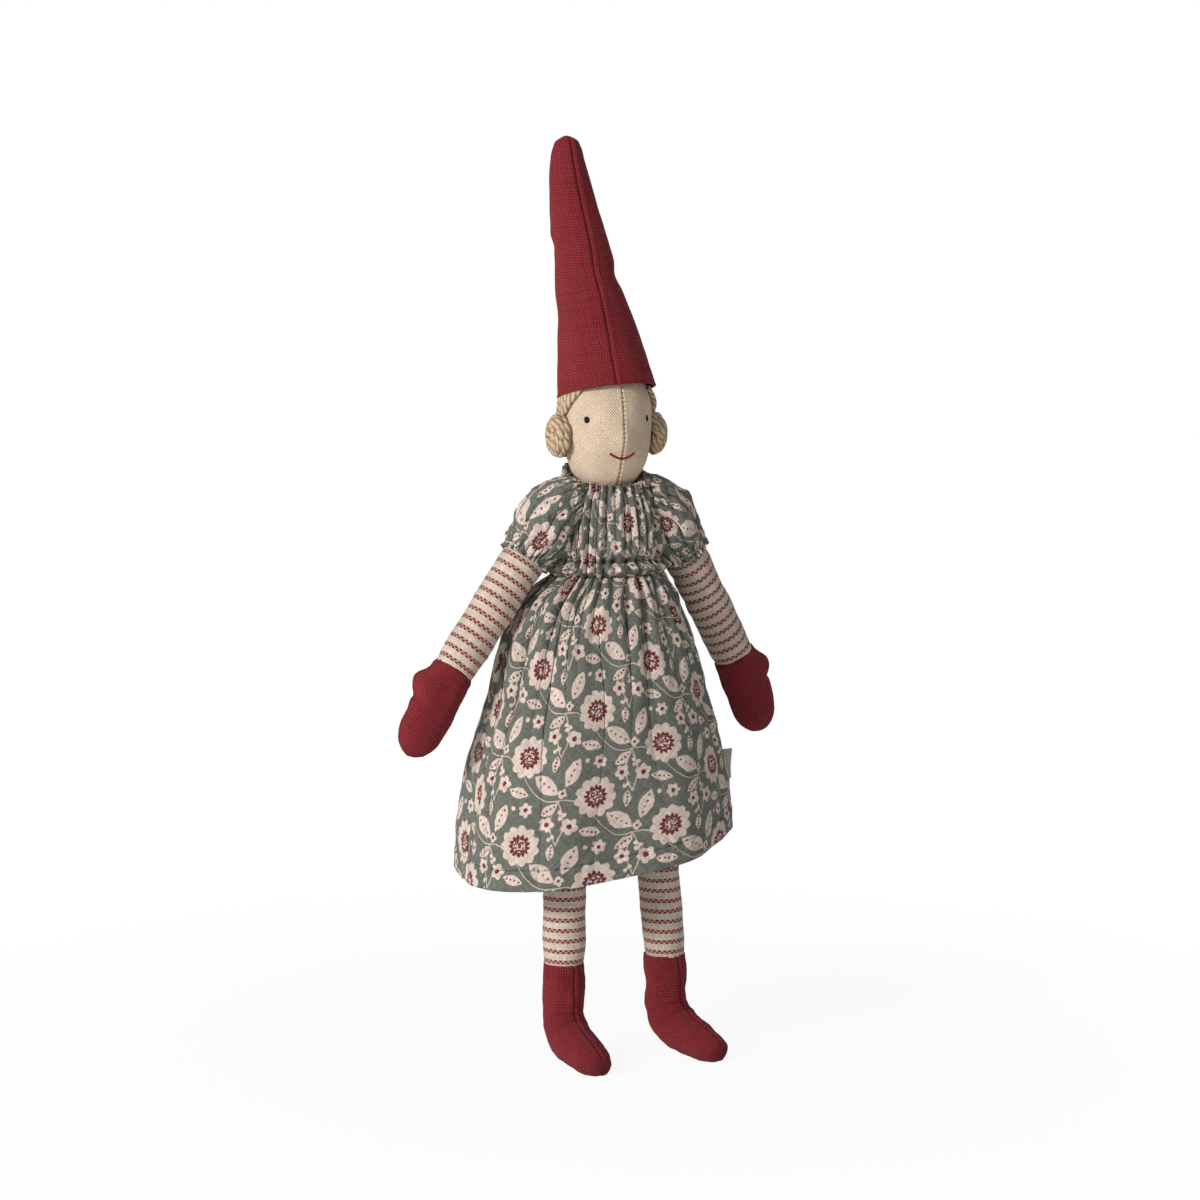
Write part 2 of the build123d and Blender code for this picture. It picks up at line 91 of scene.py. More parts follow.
HEAD_LOW, HEAD_TOP = extent("head_left", "head_right")
HEAD_R = (HEAD_TOP[0] - HEAD_LOW[0]) / 2
HEAD_Z = HEAD_LOW[2]
HEAD_H = HEAD_TOP[2] - HEAD_LOW[2]
HAT_LOW, HAT_HIGH = extent("hat_left", "hat_right")
WAIST_Z = extent("bodice_front", "bodice_back")[0][2]
HEM_LOW = extent("skirt_front", "skirt_back")[0][2]
SLACK = 3.8                           # how far the boot's top edge has slid down its ankle
BOOT_TOP = extent("boot_inner_left")[1][2] - SLACK


# --- Small numeric helpers ----------------------------------------------------------------
def flow(x, knots, values):
    """Smooth curve through values at the knots, read at x."""
    knots = np.asarray(knots, float)
    values = np.asarray(values, float)
    slopes = np.gradient(values, knots)
    x = np.clip(np.asarray(x, float), knots[0], knots[-1])
    i = np.clip(np.searchsorted(knots, x, side="right") - 1, 0, len(knots) - 2)
    step = knots[i + 1] - knots[i]
    t = (x - knots[i]) / step
    rise = values[i] * (1 + 2 * t) * (1 - t) ** 2 + values[i + 1] * t * t * (3 - 2 * t)
    lean = slopes[i] * t * (1 - t) ** 2 - slopes[i + 1] * t * t * (1 - t)
    return rise + lean * step


def hump(x, middle, width):
    """1 at the middle, falling softly to 0 beyond the width."""
    return np.exp(-(((x - middle) / width) ** 2))


def ease(x, low, high):
    """0 below low, 1 above high, smooth between."""
    t = np.clip((x - low) / (high - low), 0, 1)
    return t * t * (3 - 2 * t)


def unit(v):
    """The same directions with length 1."""
    return v / np.linalg.norm(v, axis=-1, keepdims=True)


def relief(points, size, seed, octaves=3):
    """Seeded lumpy relief over points in mm, about -1 to 1, with features of the given size."""
    rng = np.random.default_rng(seed)
    total = np.zeros(points.shape[:-1])
    for octave in range(octaves):
        for _ in range(7):
            heading = unit(rng.normal(size=3))
            phase = rng.uniform(0, 2 * PI)
            wave = points @ heading * (2 * PI * 1.9**octave / (size * rng.uniform(0.8, 1.6)))
            total += np.sin(wave + phase) * 0.5**octave
    return total / 4.2


def gathers(u, count, seed, sharp=1.6):
    """Irregular pleats over u (0 to 1): rounded ridges with narrow valleys, from -1 to 1."""
    rng = np.random.default_rng(seed)
    stretch = u * count
    for k in (1, 2, 3, 5, 8):
        stretch = stretch + rng.uniform(0.25, 0.5) / k**0.6 * np.sin(2 * PI * k * u + rng.uniform(0, 2 * PI))
    ridge = np.abs(np.sin(PI * stretch))
    heights = rng.uniform(0.45, 1.0, count + 6)
    cell = np.clip(np.floor(stretch).astype(int) + 3, 0, count + 5)
    return (2 * ridge ** (1 / sharp) - 1) * heights[cell]


def around(count):
    """Angles all round, evenly spaced."""
    return np.linspace(0, 2 * PI, count, endpoint=False)


def seam_spaced(count):
    """Angles all round from the front, closer together at the front and the back."""
    t = around(count)
    return t - 0.38 * np.sin(2 * t)


def points_of(x, y, z):
    """Points from their three coordinates, each spread to the shape of all."""
    return np.stack(np.broadcast_arrays(x, y, z), axis=-1)


def running_length(steps):
    """Distance from the first point, from the distance between each point and the next."""
    return np.concatenate([[0], np.cumsum(steps)])


def path_length(path):
    """Distance along a path to each of its points."""
    return running_length(np.linalg.norm(np.diff(path, axis=0), axis=1))


def depth_down(grid):
    """How far down the cloth each row of a grid lies, as the mean over its columns."""
    return running_length(np.linalg.norm(np.diff(grid, axis=0), axis=2).mean(axis=1))


# --- Meshes --------------------------------------------------------------------------------
def mesh_object(name, points, faces, places):
    """Object from points in metres; places holds the flat cloth of each face's corners, in mm."""
    mesh = bpy.data.meshes.new(name)
    mesh.from_pydata([tuple(p) for p in points], [], faces)
    layer = mesh.uv_layers.new(name="cloth")
    layer.data.foreach_set("uv", np.array(places, dtype=np.float32).ravel())
    mesh.update()
    obj = bpy.data.objects.new(name, mesh)
    bpy.context.scene.collection.objects.link(obj)
    return obj


def finish_mesh(obj, look, body=None):
    """Give an object its look and smooth faces, and fix it to a body."""
    obj.data.materials.append(LOOKS[look])
    for polygon in obj.data.polygons:
        polygon.use_smooth = True
    if body:
        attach(obj, body)
    return obj


def surface(name, grid, cloth, closed=False, caps=(False, False)):
    """Mesh from a grid of points in mm, its rows running down and its columns anticlockwise.
    cloth holds each point's place on the flat cloth, in mm. A closed grid joins its last
    column to its first, and its cloth has one column more."""
    rows, cols = grid.shape[:2]
    points = list(grid.reshape(-1, 3) / 1000 + ROOT)
    wide = cols if closed else cols - 1
    faces = []
    places = []
    for r in range(rows - 1):
        for c in range(wide):
            d = (c + 1) % cols
            faces.append((r * cols + c, (r + 1) * cols + c, (r + 1) * cols + d, r * cols + d))
            places += [cloth[r, c], cloth[r + 1, c], cloth[r + 1, c + 1], cloth[r, c + 1]]
    for cap, r in zip(caps, (0, rows - 1)):
        if not cap:
            continue
        points.append(grid[r].mean(axis=0) / 1000 + ROOT)
        pole = cloth[r].mean(axis=0)
        for c in range(wide):
            d = (c + 1) % cols
            if r == 0:
                faces.append((len(points) - 1, r * cols + c, r * cols + d))
                places += [pole, cloth[r, c], cloth[r, c + 1]]
            else:
                faces.append((len(points) - 1, r * cols + d, r * cols + c))
                places += [pole, cloth[r, c + 1], cloth[r, c]]
    return mesh_object(name, points, faces, places)


def laid_out(grid, closed=False):
    """Flat cloth coordinates of a grid, in mm: across from its first column, down from its top."""
    ring = np.concatenate([grid, grid[:, :1]], axis=1) if closed else grid
    across = np.linalg.norm(np.diff(ring, axis=1), axis=2)
    across = np.concatenate([np.zeros((len(ring), 1)), np.cumsum(across, axis=1)], axis=1)
    width = across[:, -1:]
    even = across / np.maximum(width, 1e-6) * width.max()
    return np.stack(np.broadcast_arrays(even, depth_down(ring)[:, None]), axis=2)


def laid_from_seam(turn, radius, down):
    """Flat cloth of two panels with seams in front and behind, across from the front seam."""
    ends = np.concatenate([turn, [2 * PI]])
    ends = np.where(ends > PI, ends - 2 * PI, ends)
    return np.stack(np.broadcast_arrays(ends * radius[:, None], down[:, None]), axis=2)


def thicken(obj, thickness):
    """Cloth of a real thickness in mm, laid inwards of the modelled face."""
    solid = obj.modifiers.new("thickness", "SOLIDIFY")
    solid.thickness = thickness / 1000
    solid.offset = -1.0
    solid.use_quality_normals = True


def frames_along(path, first_side):
    """Two cross directions along a path, without twist."""
    tangents = unit(np.gradient(path, axis=0))
    side = unit(first_side - tangents[0] * (first_side @ tangents[0]))
    sides = [side]
    for tangent in tangents[1:]:
        side = unit(side - tangent * (side @ tangent))
        sides.append(side)
    sides = np.array(sides)
    return sides, np.cross(tangents, sides)


def tube(path, radius, first_side, segments):
    """Grid and cloth places of a round tube along a path in mm."""
    sides, others = frames_along(path, np.asarray(first_side, float))
    angles = around(segments)[None, :, None]
    ring = sides[:, None] * np.cos(angles) + others[:, None] * np.sin(angles)
    grid = path[:, None] + ring * radius
    across = np.linspace(0, 1, segments + 1) * 2 * PI * radius
    cloth = np.stack(np.broadcast_arrays(across, path_length(path)[:, None]), axis=2)
    return grid, cloth


THREAD_SHIFT = 13.7                   # mm along the yarn's pattern from one thread to the next


def tubes(name, paths, radius, look, body, segments=8, first_side=(0.3, 0.5, 0.8)):
    """One object of many round threads."""
    points, faces, places = [], [], []
    for k, path in enumerate(paths):
        grid, cloth = tube(path, radius, first_side, segments)
        cloth = cloth + np.array([0, THREAD_SHIFT * k])
        base = len(points)
        rows = len(grid)
        points += list(grid.reshape(-1, 3) / 1000 + ROOT)
        for r in range(rows - 1):
            for c in range(segments):
                d = (c + 1) % segments
                here, below = base + r * segments, base + (r + 1) * segments
                faces.append((here + d, below + d, below + c, here + c))
                places += [cloth[r, c + 1], cloth[r + 1, c + 1], cloth[r + 1, c], cloth[r, c]]
        for r, order in ((0, range(segments)), (rows - 1, range(segments - 1, -1, -1))):
            faces.append(tuple(base + r * segments + c for c in order))
            places += [cloth[r, c] for c in order]
    return finish_mesh(mesh_object(name, points, faces, places), look, body)


# --- Materials: arithmetic on node sockets ----------------------------------------------------
class Field:
    """A number in a node tree. Arithmetic on it adds Math nodes."""

    def __init__(self, tree, socket):
        self.tree = tree
        self.socket = socket

    def math(self, operation, *others, swap=False):
        """Add a Math node over this number and others, or over them in reverse order."""
        node = self.tree.nodes.new("ShaderNodeMath")
        node.operation = operation
        values = [self, *others]
        if swap:
            values = values[::-1]
        for slot, value in zip(node.inputs, values):
            connect(self.tree, value, slot)
        return Field(self.tree, node.outputs[0])

    def __add__(self, other):
        return self.math("ADD", other)

    def __sub__(self, other):
        return self.math("SUBTRACT", other)

    def __mul__(self, other):
        return self.math("MULTIPLY", other)

    def __truediv__(self, other):
        return self.math("DIVIDE", other)

    def __rsub__(self, other):
        return self.math("SUBTRACT", other, swap=True)

    __radd__ = __add__
    __rmul__ = __mul__

    def sin(self):
        return self.math("SINE")

    def abs(self):
        return self.math("ABSOLUTE")

    def floor(self):
        return self.math("FLOOR")

    def part(self):
        return self.math("FRACT")

    def root(self):
        return self.math("SQRT")

    def least(self, other):
        return self.math("MINIMUM", other)

    def most(self, other):
        return self.math("MAXIMUM", other)

    def below(self, other):
        return self.math("LESS_THAN", other)

    def angle(self, other):
        """Angle of the point (other, self)."""
        return self.math("ARCTAN2", other)

    def rise(self, low, high):
        """0 below low, 1 above high, smooth between."""
        node = self.tree.nodes.new("ShaderNodeMapRange")
        node.interpolation_type = "SMOOTHSTEP"
        for slot, value in zip(node.inputs, (self, low, high, 0.0, 1.0)):
            connect(self.tree, value, slot)
        return Field(self.tree, node.outputs[0])


def connect(tree, value, slot):
    """Feed a socket from a field, or set its constant."""
    if isinstance(value, Field):
        tree.links.new(value.socket, slot)
    else:
        slot.default_value = value


def colour_of(value):
    """A colour constant with its alpha; a field stays as it is."""
    return (*value, 1.0) if not isinstance(value, Field) and len(value) == 3 else value


class Look:
    """A material with a Principled shader, and short ways to add what feeds it."""

    def __init__(self, name):
        self.material = bpy.data.materials.new(name)
        self.material.use_nodes = True
        self.tree = self.material.node_tree
        self.tree.nodes.clear()
        self.shader = self.tree.nodes.new("ShaderNodeBsdfPrincipled")
        out = self.tree.nodes.new("ShaderNodeOutputMaterial")
        self.tree.links.new(self.shader.outputs[0], out.inputs[0])
        self.shader.inputs["IOR"].default_value = 1.45
        self.shader.inputs["Specular IOR Level"].default_value = 0.15

    def cloth(self):
        """Place on the flat cloth, in mm: across and down."""
        layer = self.tree.nodes.new("ShaderNodeUVMap")
        layer.uv_map = "cloth"
        apart = self.tree.nodes.new("ShaderNodeSeparateXYZ")
        self.tree.links.new(layer.outputs[0], apart.inputs[0])
        return Field(self.tree, apart.outputs[0]), Field(self.tree, apart.outputs[1])

    def joined(self, x, y, z=0.0):
        """A vector of three numbers."""
        node = self.tree.nodes.new("ShaderNodeCombineXYZ")
        for slot, value in zip(node.inputs, (x, y, z)):
            connect(self.tree, value, slot)
        return Field(self.tree, node.outputs[0])

    def noise(self, x, y, size, detail=3.0, rough=0.55):
        """Smooth noise about 0.5 over two numbers, with features of the given size."""
        node = self.tree.nodes.new("ShaderNodeTexNoise")
        node.inputs["Scale"].default_value = 1.0 / size
        node.inputs["Detail"].default_value = detail
        node.inputs["Roughness"].default_value = rough
        connect(self.tree, self.joined(x, y), node.inputs["Vector"])
        return Field(self.tree, node.outputs[0])

    def room_noise(self, size, detail=3.0):
        """Smooth noise over the object's own space; size in mm."""
        place = self.tree.nodes.new("ShaderNodeTexCoord")
        node = self.tree.nodes.new("ShaderNodeTexNoise")
        node.inputs["Scale"].default_value = 1000.0 / size
        node.inputs["Detail"].default_value = detail
        self.tree.links.new(place.outputs["Object"], node.inputs["Vector"])
        return Field(self.tree, node.outputs[0])

    def chance(self, x, y=0.0):
        """An even random number for each pair of whole numbers."""
        node = self.tree.nodes.new("ShaderNodeTexWhiteNoise")
        node.noise_dimensions = "2D"
        connect(self.tree, self.joined(x, y), node.inputs["Vector"])
        return Field(self.tree, node.outputs["Value"])

    def mix(self, share, first, second):
        """The first colour, and the second where share is 1."""
        node = self.tree.nodes.new("ShaderNodeMix")
        node.data_type = "RGBA"
        connect(self.tree, share, node.inputs[0])
        connect(self.tree, colour_of(first), node.inputs[6])
        connect(self.tree, colour_of(second), node.inputs[7])
        return Field(self.tree, node.outputs[2])

    def tint(self, colour, factor):
        """The colour made lighter or darker by a factor."""
        node = self.tree.nodes.new("ShaderNodeMix")
        node.data_type = "RGBA"
        node.blend_type = "MULTIPLY"
        node.inputs[0].default_value = 1.0
        connect(self.tree, colour_of(colour), node.inputs[6])
        grey = self.joined(factor, factor, factor)
        self.tree.links.new(grey.socket, node.inputs[7])
        return Field(self.tree, node.outputs[2])

    def weave(self, u, v, pitch, uneven=0.25):
        """Plain weave: relief 0 to 1, and the tone of the thread on top, about 1."""
        wander = self.noise(u, v, pitch * 9, 2.0) - 0.5
        a = (u + wander * pitch * 1.4) / pitch
        b = (v + wander * pitch * 1.1) / pitch
        warp = a.floor()
        weft = b.floor()
        parity = ((warp + weft) * 0.5).part() * 2.0
        over = (a.part() * PI).sin()
        under = (b.part() * PI).sin()
        high = over * (0.45 + 0.55 * under)
        across = under * (0.45 + 0.55 * over)
        height = high + (across - high) * parity
        warp_tone = self.chance(warp, 3.0)
        weft_tone = self.chance(weft, 11.0)
        slub = self.noise(u / 6.0, v, pitch * 1.2, 1.0) + self.noise(u, v / 6.0, pitch * 1.2, 1.0)
        tone = warp_tone + (weft_tone - warp_tone) * parity
        return height, 1.0 + uneven * (tone - 0.5) + uneven * 1.3 * (slub - 1.0)

    def painted_fold_shade(self):
        """How deep in a fold, as a mask for painted shade: 0 on flat cloth, 1 at the bottom of a narrow
        valley.
        """
        node = self.tree.nodes.new("ShaderNodeNewGeometry")
        return (0.5 - Field(self.tree, node.outputs["Pointiness"])).rise(0.0, 0.05)

    def bump(self, height, depth):
        """Relief of a real depth, in mm."""
        node = self.tree.nodes.new("ShaderNodeBump")
        node.inputs["Strength"].default_value = 1.0
        node.inputs["Distance"].default_value = depth / 1000
        self.tree.links.new(height.socket, node.inputs["Height"])
        self.tree.links.new(node.outputs[0], self.shader.inputs["Normal"])

    def paint(self, colour, roughness, sheen=0.0, sheen_tint=(1, 1, 1)):
        """Set the shader's colour and how matt and how fuzzy the cloth is."""
        connect(self.tree, colour_of(colour), self.shader.inputs["Base Color"])
        connect(self.tree, roughness, self.shader.inputs["Roughness"])
        self.shader.inputs["Sheen Weight"].default_value = sheen
        self.shader.inputs["Sheen Roughness"].default_value = 0.45
        self.shader.inputs["Sheen Tint"].default_value = (*sheen_tint, 1.0)


def on_the_bias(u, v):
    """The same place on the cloth, counted along threads that run at 45 degrees."""
    return (u + v) * np.sqrt(0.5), (v - u) * np.sqrt(0.5)


def face_cotton(name, colour, pitch=0.78, uneven=0.12):
    """Fine plain cotton, cut on the bias."""
    look = Look(name)
    u, v = look.cloth()
    height, tone = look.weave(*on_the_bias(u, v), pitch, uneven)
    soft = look.room_noise(14.0)
    # painted shade: the weave's relief darkens the cloth where threads dip under
    shade = tone * (0.74 + 0.34 * height) * (0.90 + 0.18 * soft)
    look.paint(look.tint(colour, shade), 0.86 + (soft - 0.5) * 0.1, 0.12)
    look.bump(height + look.noise(u, v, 1.6, 3.0) * 1.1, 0.30)
    return look.material


def red_linen(name, colour, pitch=1.0):
    """Thick slubby linen: uneven threads, paler where it is worn and fluffy."""
    look = Look(name)
    u, v = look.cloth()
    height, tone = look.weave(u, v, pitch, 0.20)
    fluff = look.noise(u, v, 0.7, 4.0, 0.7)
    patches = look.room_noise(22.0, 4.0)
    wear = look.room_noise(5.0, 5.0)
    # painted shade: the weave's relief darkens the cloth where threads dip under
    shade = tone * (0.50 + 0.72 * height) * (0.88 + 0.24 * patches) * (0.9 + 0.2 * wear)
    worn = (fluff.rise(0.54, 0.80)) * (height.rise(0.50, 1.0)) * 0.40
    cloth = look.mix(worn, look.tint(colour, shade), (0.46, 0.095, 0.10))
    look.paint(cloth, 0.95 - 0.08 * height, 0.08, (1.0, 0.45, 0.42))
    look.bump(height + fluff * 0.9, 0.34)
    return look.material


def striped_linen(name, ground, stripe, repeat, band=1.65):
    """Undyed linen with woven bands of red and undyed checks, two rows to a band."""
    look = Look(name)
    u, v = look.cloth()
    height, tone = look.weave(u, v, band / 2, 0.26)
    wander = (look.noise(u, v, 9.0, 2.0) - 0.5) * 0.7
    place = ((v + wander) / repeat).part() * repeat
    inside = place.below(band)
    cell = ((u / (band * 0.7)).floor() + (place / (band / 2)).floor()) * 0.5
    check = cell.part().rise(0.2, 0.3)
    frayed = look.noise(u, v, 0.5, 2.0).rise(0.30, 0.42)
    patches = look.room_noise(16.0, 4.0)
    # painted shade: the weave's relief darkens the cloth where threads dip under
    shade = tone * (0.78 + 0.26 * height) * (0.88 + 0.24 * patches)
    fleck = look.noise(u, v / 4.0, 0.6, 2.0).rise(0.62, 0.74) * 0.22
    plain = look.mix(fleck, ground, (0.33, 0.24, 0.15))
    stained = look.mix(0.42, plain, stripe)
    band_colour = look.mix(check * frayed, stained, stripe)
    cloth = look.mix(inside, plain, band_colour)
    look.paint(look.tint(cloth, shade), 0.9 - 0.08 * height, 0.15)
    look.bump(height + look.noise(u, v, 0.8, 3.0) * 0.6, 0.16)
    return look.material


# One repeat of the dress's print, in mm from the middle of its big flower.
REPEAT_WIDE = 27.0
REPEAT_HIGH = 32.0
BIG_FLOWER = 7.7                      # radius
SMALL_FLOWERS = (                     # place, petals, radius, turn
    ((-9.0, 9.6), 5, 3.2, 0.7), ((9.8, -7.6), 5, 2.9, 2.0), ((-12.0, -2.6), 4, 1.9, 1.2),
    ((1.4, -13.0), 6, 2.7, 0.0),
)
LEAVES = (                            # place, heading, length, width
    ((8.6, 10.2), 0.62, 12.0, 6.2), ((-8.6, -10.0), -1.15, 11.4, 5.6), ((10.4, -12.8), 2.6, 8.0, 3.9),
    ((-2.0, 12.6), 0.25, 8.6, 4.0), ((11.6, 2.6), 1.7, 6.4, 3.2),
)
BERRIES = ((-12.4, 4.2), (-10.8, 5.2), (-12.3, 6.2), (12.2, -3.0), (10.8, -2.2), (-3.4, -13.8))
BERRY_R = 0.85
DRAWN_SHAKE = 1.1                     # how far the drawn lines wander


def print_parts(look, u, v):
    """Masks of an all-over print of our own: cream (petals, leaves, stems) and dark red."""
    wide, high = REPEAT_WIDE, REPEAT_HIGH
    p = u + (look.noise(u, v, 2.6, 2.0) - 0.5) * DRAWN_SHAKE
    q = v + (look.noise(v, u, 2.6, 2.0) - 0.5) * DRAWN_SHAKE
    ragged = (look.noise(u, v, 0.55, 2.0) - 0.5) * 0.7
    column = (p / wide).floor()
    drop = (column * 0.5).part() * 2.0 * (high / 2)
    row = ((q + drop) / high).floor()
    x = (p / wide).part() * wide - wide / 2
    y = ((q + drop) / high).part() * high - high / 2
    turn = look.chance(column, row) * 2 * PI

    def spot(at, petals, size, seed=0.0, scallop=0.16):
        """How far inside a scalloped flower, in mm."""
        dx = x - at[0]
        dy = y - at[1]
        far = (dx * dx + dy * dy).root()
        edge = ((dy.angle(dx) + turn + seed) * (petals / 2)).sin().abs()
        return edge * (size * scallop) + size * (1 - scallop) - far, far

    def leaf(at, heading, length, width):
        """How far inside a pointed leaf, and how far from the nearest dot of its midrib."""
        c, s = np.cos(heading), np.sin(heading)
        dx = x - at[0]
        dy = y - at[1]
        along = dx * float(c) + dy * float(s)
        off = dy * float(c) - dx * float(s)
        taper = 1.0 - (along / (length / 2)) * (along / (length / 2))
        tooth = ((along * 2.2).part() - 0.5).abs() * 0.5
        inside = taper * (width / 2) - off.abs() - tooth
        step = length / 5.2
        near = ((along / step).part() - 0.5) * step
        dot = 0.42 - (near * near + off * off).root()
        return inside, dot.least(along * -1.0 + length * 0.36).least(along + length * 0.36)

    cream, far = spot((0.0, 0.0), 11, BIG_FLOWER)
    red = ((y.angle(x) * 6.5 + turn * 3.0).sin()).abs() * 1.1 + 3.2 - far
    speckle = look.noise(u, v, 0.95, 1.0).rise(0.49, 0.55) * (2.7 - far).rise(0.0, 0.3)
    dots = None
    for at, petals, size, seed in SMALL_FLOWERS:
        small, near = spot(at, petals, size, seed, 0.34)
        cream = cream.most(small)
        pip = size * 0.30 - near
        dots = pip if dots is None else dots.most(pip)
    for at, heading, length, width in LEAVES:
        inside, dot = leaf(at, heading, length, width)
        cream = cream.most(inside)
        dots = dots.most(dot.least(inside))
    for at in BERRIES:
        dx = x - at[0]
        dy = y - at[1]
        cream = cream.most(BERRY_R - (dx * dx + dy * dy).root())
    swing = (y * (2 * PI / high)).sin() * 2.3
    stem = 0.27 - ((p / wide + 0.5).part() * wide - wide / 2 - swing).abs()
    climb = q - p * (high / 2 / wide) - high / 2 + (p * (2 * PI / wide)).sin() * 3.0
    branch = 0.24 - ((climb / high + 0.5).part() * high - high / 2).abs()
    stems = stem.most(branch)
    cream = (cream + ragged).rise(-0.08, 0.12)
    stems = (stems + ragged * 0.15).rise(-0.05, 0.12)
    red_part = (red + ragged * 0.9).rise(-0.1, 0.1) * (1.0 - speckle)
    dots = (dots + ragged * 0.25).rise(-0.06, 0.08)
    return cream.most(stems * 0.85), red_part.most(dots)


def printed_cotton(name, ground, pale, red, pitch=0.58):
    """Grainy printed cotton, with painted shade in the valleys of its gathers and between its threads."""
    look = Look(name)
    u, v = look.cloth()
    height, tone = look.weave(*on_the_bias(u, v), pitch, 0.34)
    cream, dark = print_parts(look, u, v)
    faded = look.room_noise(30.0, 3.0)
    grain = look.noise(u, v, 0.85, 3.0)
    base = look.tint(ground, 0.22 + 1.54 * grain)
    drawn = look.mix(cream, base, look.tint(pale, 0.90 + 0.2 * grain))
    drawn = look.mix(dark, drawn, look.tint(red, 0.75 + 0.5 * grain))
    # painted shade: darker in the valleys of the gathers and where the weave's threads dip under
    shade = tone * (0.68 + 0.46 * height) * (0.92 + 0.16 * faded) * (1.0 - 0.78 * look.painted_fold_shade())
    look.paint(look.tint(drawn, shade), 0.82 + (faded - 0.5) * 0.1, 0.10)
    look.bump(height + grain * 0.5, 0.13)
    return look.material


def twisted_yarn(name, colour, ply=1.5, uneven=0.5, depth=0.35, sheen=0.25, plies=2.0, radius=0.8):
    """Yarn of twisted strands, with stray fibres."""
    look = Look(name)
    u, v = look.cloth()
    lay = u / (2 * PI * radius) * plies + v / ply
    strand = (lay.part() * PI).sin().abs()
    fibres = look.noise(lay * 3.0, v / 5.0, 0.22, 3.0, 0.7)
    fluff = look.noise(u, v, 0.4, 4.0)
    patches = look.room_noise(6.0, 3.0)
    # painted shade: darker in the grooves between the twisted strands
    shade = (0.42 + 0.62 * strand) * (1.0 + uneven * (fibres - 0.5)) * (0.78 + 0.44 * patches)
    look.paint(look.tint(colour, shade), 0.8 + 0.15 * fluff, sheen)
    look.bump(strand + fibres * 0.35 + fluff * 0.25, depth)
    return look.material


def woven_tape(name, colour):
    """Narrow tape or elastic of fine threads."""
    look = Look(name)
    u, v = look.cloth()
    height, tone = look.weave(u, v, 0.32, 0.2)
    patches = look.room_noise(5.0)
    # painted shade: the weave's relief darkens the tape where threads dip under
    look.paint(look.tint(colour, tone * (0.85 + 0.2 * height) * (0.9 + 0.2 * patches)), 0.7, 0.1)
    look.bump(height, 0.05)
    return look.material


def fibre_fill(name):
    """Loose white filling."""
    look = Look(name)
    fluff = look.room_noise(1.2, 6.0)
    look.paint(look.tint((0.75, 0.73, 0.70), 0.7 + 0.5 * fluff), 0.95, 0.3)
    look.bump(fluff, 0.4)
    return look.material


LOOKS = {
    "plain_cloth": face_cotton("plain_cloth", (0.79, 0.61, 0.438)),
    "striped_arm": striped_linen("striped_arm", (0.62, 0.525, 0.42), (0.21, 0.011, 0.015), 4.2),
    "striped_leg": striped_linen("striped_leg", (0.68, 0.57, 0.46), (0.22, 0.012, 0.016), 4.15),
    "red_cloth": red_linen("red_cloth", (0.236, 0.0235, 0.030)),
    "dress_cloth": printed_cotton(
        "dress_cloth", ground=(0.158, 0.166, 0.138), pale=(0.72, 0.585, 0.50), red=(0.17, 0.038, 0.036)),
    "yarn": twisted_yarn("yarn", (0.62, 0.45, 0.285), 3.0, 0.6, 0.6, 0.1, radius=1.0),
    "black_thread": twisted_yarn("black_thread", (0.012, 0.010, 0.012), 0.5, 0.8, 0.12, 0.1),
    "red_thread": twisted_yarn("red_thread", (0.27, 0.018, 0.020), 0.9, 0.5, 0.12, 0.05, radius=0.4),
    "sewing_thread": twisted_yarn("sewing_thread", (0.36, 0.26, 0.17), 0.5, 0.5, 0.08, 0.05, radius=0.25),
    "grey_thread": twisted_yarn("grey_thread", (0.10, 0.11, 0.09), 0.5, 0.5, 0.08, 0.05, radius=0.15),
    "elastic": woven_tape("elastic", (0.72, 0.68, 0.62)),
    "stuffing": fibre_fill("stuffing"),
    "label_tape": woven_tape("label_tape", (0.42, 0.36, 0.29)),
}
LOOKS["striped_cloth"] = LOOKS["striped_arm"]


def dress_cad_nodes():
    """Every CAD node gets the look of its slot, though most are replaced below."""
    for obj in frame["nodes"].values():
        for slot in obj.material_slots:
            name = slot.material.name.split(".")[0] if slot.material else ""
            slot.material = LOOKS.get(name, LOOKS["plain_cloth"])


# --- Head ------------------------------------------------------------------------------------
HEAD_PROFILE = (
    (0.0, 0.10), (0.024, 0.377), (0.083, 0.57), (0.164, 0.74), (0.267, 0.86), (0.435, 0.97),
    (0.613, 1.0), (0.79, 0.92), (0.911, 0.72), (0.976, 0.44), (1.0, 0.05),
)                                     # share of the head's height, share of its radius
EYE_X = 13.3
EYE_HALF = (0.90, 1.40)               # half the width and height of an eye
EYE_Z = HEAD_Z + 0.595 * HEAD_H
NOSE_Z = HEAD_Z + 0.43 * HEAD_H
MOUTH_Z = HEAD_Z + 0.345 * HEAD_H
CHEEK_Z = HEAD_Z + 0.30 * HEAD_H
MOUTH_HALF = 4.8
MOUTH_DIP = 2.1                       # of its middle below its ends


def head_round(z):
    """Radius of the head at a height."""
    shares, sizes = zip(*HEAD_PROFILE)
    return flow((z - HEAD_Z) / HEAD_H, shares, sizes) * HEAD_R


